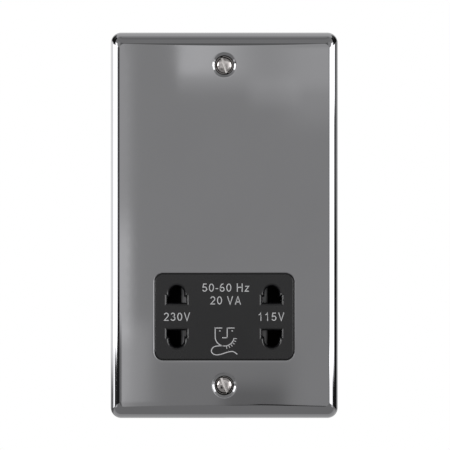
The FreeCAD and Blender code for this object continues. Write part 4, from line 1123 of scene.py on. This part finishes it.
for name, axis, pitch, dark, light, metallic, roughness, depth, nodes in (
    ("core_steel", "Y", 0.5, (0.16, 0.15, 0.14), (0.3, 0.29, 0.28), 0.8, 0.42, 0.03,
     ("e_core", "i_core")),
    ("winding_copper", "Z", 0.3, (0.3, 0.1, 0.04), (0.6, 0.22, 0.09), 0.9, 0.3, 0.1,
     ("primary_winding", "secondary_winding")),
    ("winding_tape", "Z", 2.2, (0.62, 0.42, 0.06), (0.7, 0.5, 0.1), 0.0, 0.3, 0.01,
     ("winding_tapes",)),
    ("board_laminate", "X", 0.8, (0.03, 0.13, 0.06), (0.035, 0.15, 0.07), 0.0, 0.38, 0.002,
     ("circuit_board",)),
):
    dress(layered_material(name, axis, pitch, dark, light, metallic, roughness, depth), *nodes)
dress(moulded_plastic("bobbin_nylon", (0.1, 0.1, 0.105), 0.45, 0.006), "bobbin")
dress(moulded_plastic("cutout_case", (0.5, 0.48, 0.42), 0.4, 0.004), "thermal_cutout")
dress(moulded_plastic("lead_brown", (0.16, 0.06, 0.025), 0.35, 0.003), "primary_leads")
dress(moulded_plastic("lead_white", (0.7, 0.7, 0.68), 0.35, 0.003), "secondary_leads")

# Rear housing and terminal block: white mouldings. The housing is a vented box that four screws hold
# to the liner, and the block has a pocket for each terminal and a slot below it for its wire.
housing_white = moulded_plastic("housing_white", (0.74, 0.74, 0.72), 0.42, 0.012, 1800.0)
dress(housing_white, "rear_housing", "terminal_block")

# Gasket: a ring cut from closed-cell foam, on the plate's wall side. It keeps steam out of the box.
# Its cells are cut open, so it is quite matt.
FOAM_DARK = (0.02, 0.02, 0.021)
FOAM_PALE = (0.06, 0.06, 0.062)
FOAM_CELLS = 2400


def foam_material():
    """Closed-cell foam: matt, with small cells cut open."""
    material, tree, shader = new_material("gasket_foam")
    place = tree.nodes.new("ShaderNodeTexCoord").outputs["Object"]
    cells = add_node(tree, "ShaderNodeTexVoronoi", {"Vector": place, "Scale": FOAM_CELLS}, "Distance")
    tint(tree, shader, cells, FOAM_DARK, FOAM_PALE)
    roughen(tree, shader, cells, (0, 1), 0.8, 0.95)
    relief(tree, shader, cells, 0.08)
    return material


dress(foam_material(), "wall_gasket")

# Floor and studio: a pale floor, an even pale surround, and tall soft lights at both sides.
# The polished plate mirrors the surround, so its light and dark places are laid out by direction.
FLOOR_Z = -118.0
FLOOR_CORNERS = ((-1500, 140), (1500, 140), (1500, -1500), (-1500, -1500))
FLOOR_GREY = (0.82, 0.82, 0.82, 1)
ROOM_LIGHT = 0.75
BASE_LEVEL = 0.94
LEAST_LEVEL = 0.03
DEGREES = 57.2958
LAMP_SIZE = 500
LAMP_POWER = 3.0


def floor_piece():
    """A pale floor in front of and below the socket."""
    shell = bmesh.new()
    shell.faces.new([shell.verts.new((x, y, FLOOR_Z)) for x, y in FLOOR_CORNERS])
    material, _, shader = new_material("floor_paint")
    shader.inputs["Base Color"].default_value = FLOOR_GREY
    shader.inputs["Roughness"].default_value = 0.7
    floor = shell_object("floor", outward(shell), material)
    floor.visible_glossy = False


floor_piece()

world = bpy.data.worlds.new("studio")
bpy.context.scene.world = world
world.use_nodes = True
sky = world.node_tree


def window(value, low, high, soft, soft_end=None):
    """1 inside a span of angles and 0 outside, with soft ends."""
    rise = map_range(sky, value, low - soft, low, 0, 1, "SMOOTHSTEP")
    fall = map_range(sky, value, high, high + (soft_end or soft), 1, 0, "SMOOTHSTEP")
    return math_node(sky, "MULTIPLY", rise, fall)


def spot(azimuth, height, across, upright, strength):
    """Light added in one window of directions: low, high and softness, in degrees, each way."""
    shape = math_node(sky, "MULTIPLY", window(azimuth, *across), window(height, *upright))
    return math_node(sky, "MULTIPLY", shape, strength)


def studio():
    """The surround as metal sees it, by direction: azimuth from the camera's side, and height."""
    direction = sky.nodes.new("ShaderNodeTexCoord").outputs["Generated"]
    parts = sky.nodes.new("ShaderNodeSeparateXYZ")
    sky.links.new(direction, parts.inputs["Vector"])
    toward = math_node(sky, "MULTIPLY", parts.outputs["Y"], -1.0)
    across = math_node(sky, "ARCTAN2", parts.outputs["X"], toward)
    azimuth = math_node(sky, "MULTIPLY", across, DEGREES)
    rise = math_node(sky, "ARCSINE", parts.outputs["Z"], 0.0)
    height = math_node(sky, "MULTIPLY", rise, DEGREES)
    spots = [
        # the room's walls, near the camera's axis
        ((-12, -3.95, 0.3, 0.7), (-9, 16, 1.0), 0.35),
        ((-12, -3.85, 0.3, 0.5), (-2.9, -0.8, 0.8, 1.7), 0.55),
        ((-12, -3.3, 0.8), (-5.2, -3.2, 0.7), 0.3),
        ((-1.75, -1.0, 0.12, 2.6), (4.5, 16, 0.3), 0.6),
        ((-1.75, 10, 0.12), (4.2, 16, 0.5), 0.27),
        ((3.4, 10, 1.8), (3.6, 5.2, 1.2), 0.2),
        ((1.2, 2.6, 0.5), (3.7, 4.0, 0.4), 0.2),
        ((-2.0, 2.0, 1.2), (-9, -4.4, 1.4), -0.16),
        ((0.3, 1.9, 0.8), (-9, -5.0, 0.7), -0.26),
        ((1.4, 4.6, 0.5), (-10.8, -7.6, 0.5), -0.75),
        ((-12, -5.4, 0.5), (-14, -3.2, 0.6), -0.95),
        ((13, 33, 3), (-12, 16, 6), 1.6),
        ((-33, -14, 3), (-12, 16, 6), 0.3),
        ((-10, 10, 6), (10, 17, 2), 0.6),
        # dark flags between the camera and the tall lights
        ((-60, -36, 3), (-9, 8, 3), -0.66),
        ((-60, -36, 3), (-9, -2.6, 1.2), -0.22),
        ((35, 46, 3), (-9, 8, 3), -0.6),
        ((-88, -61, 3), (-14, -3.6, 0.7), -0.85),
        ((102, 132, 4), (-14, 9, 4), -0.65),
        ((102, 132, 4), (-14, -1, 3), -0.25),
        ((79, 102, 3), (-14, -4.3, 0.8), -0.9),
        ((-138, -80, 6), (16, 50, 6), -1.3),
        ((80, 138, 6), (16, 50, 6), -1.3),
        # the tall lights, and the pale wall behind
        ((-106, -64, 2), (-3.0, 8, 0.8), 5.6),
        ((-82, -70, 3), (-3.4, 8, 0.8), 6.0),
        ((-106, -92, 2), (-14, -3.0, 0.8), 4.6),
        ((49, 93, 3), (-3.9, 8, 0.8), 4.8),
        ((49, 75, 3), (-9, -3.9, 0.8), 4.8),
        ((93, 103, 3), (3.8, 8, 0.8), 4.0),
        ((-76, -58, 3), (8, 26, 3), 4.4),
        ((-76, -60, 3), (-22, -10, 3), 1.2),
        ((58, 76, 3), (8, 26, 3), 4.4),
        ((60, 76, 3), (-22, -10, 3), 1.2),
        ((-141, -108, 3), (-3.6, 16, 1.4), 1.9),
        ((-180, -141, 3), (-2.0, 16, 2.0), 0.2),
        ((-180, -108, 3), (-30, -4.4, 1.2), -0.4),
        ((132, 146, 4), (-30, 16, 6), 0.3),
        ((146, 180, 4), (-30, 16, 6), -0.1),
        # the ceiling and the floor
        ((-26, 26, 8), (22, 36, 5), -0.5),
        ((-60, 60, 20), (42, 76, 5), -0.2),
        ((-60, 60, 20), (64, 74, 4), -0.12),
        ((-180, -100, 20), (40, 90, 8), 0.5),
        ((100, 180, 20), (40, 90, 8), 0.5),
        ((-180, 180, 1), (-90, -14, 6), -0.28),
        ((-180, -100, 20), (-84, -30, 10), 0.45),
        ((100, 180, 20), (-84, -30, 10), 0.45),
        ((0.4, 4.2, 0.6), (-28, -20, 2), -0.5),
    ]
    total = BASE_LEVEL
    for across, upright, strength in spots:
        total = math_node(sky, "ADD", spot(azimuth, height, across, upright, strength), total)
    seen = math_node(sky, "MAXIMUM", total, LEAST_LEVEL)
    path = sky.nodes.new("ShaderNodeLightPath")
    plain = math_node(sky, "MAXIMUM", path.outputs["Is Camera Ray"], path.outputs["Is Transmission Ray"])
    glossy = path.outputs["Is Glossy Ray"]
    other = math_node(sky, "SUBTRACT", math_node(sky, "SUBTRACT", 1.0, plain), glossy)
    strength = math_node(sky, "ADD", plain, math_node(sky, "MULTIPLY", glossy, seen))
    strength = math_node(sky, "ADD", strength, math_node(sky, "MULTIPLY", other, ROOM_LIGHT))
    background = sky.nodes["Background"]
    sky.links.new(strength, background.inputs["Strength"])
    background.inputs["Color"].default_value = (1, 1, 1, 1)


studio()


def soft_light(name, place, aim):
    """A large soft lamp that the camera doesn't see."""
    data = bpy.data.lights.new(name, "AREA")
    data.shape = "SQUARE"
    data.size = LAMP_SIZE * MM
    data.energy = LAMP_POWER
    lamp = new_object(name, data)
    lamp.location = Vector(place) * MM
    lamp.rotation_euler = (Vector(aim) - Vector(place)).to_track_quat("-Z", "Y").to_euler()
    lamp.visible_camera = False
    lamp.visible_glossy = False


soft_light("key", (-500, -700, 600), (0, 0, 0))
soft_light("rear", (500, 700, 500), (0, 20, 0))

bpy.context.scene.view_settings.view_transform = "Standard"
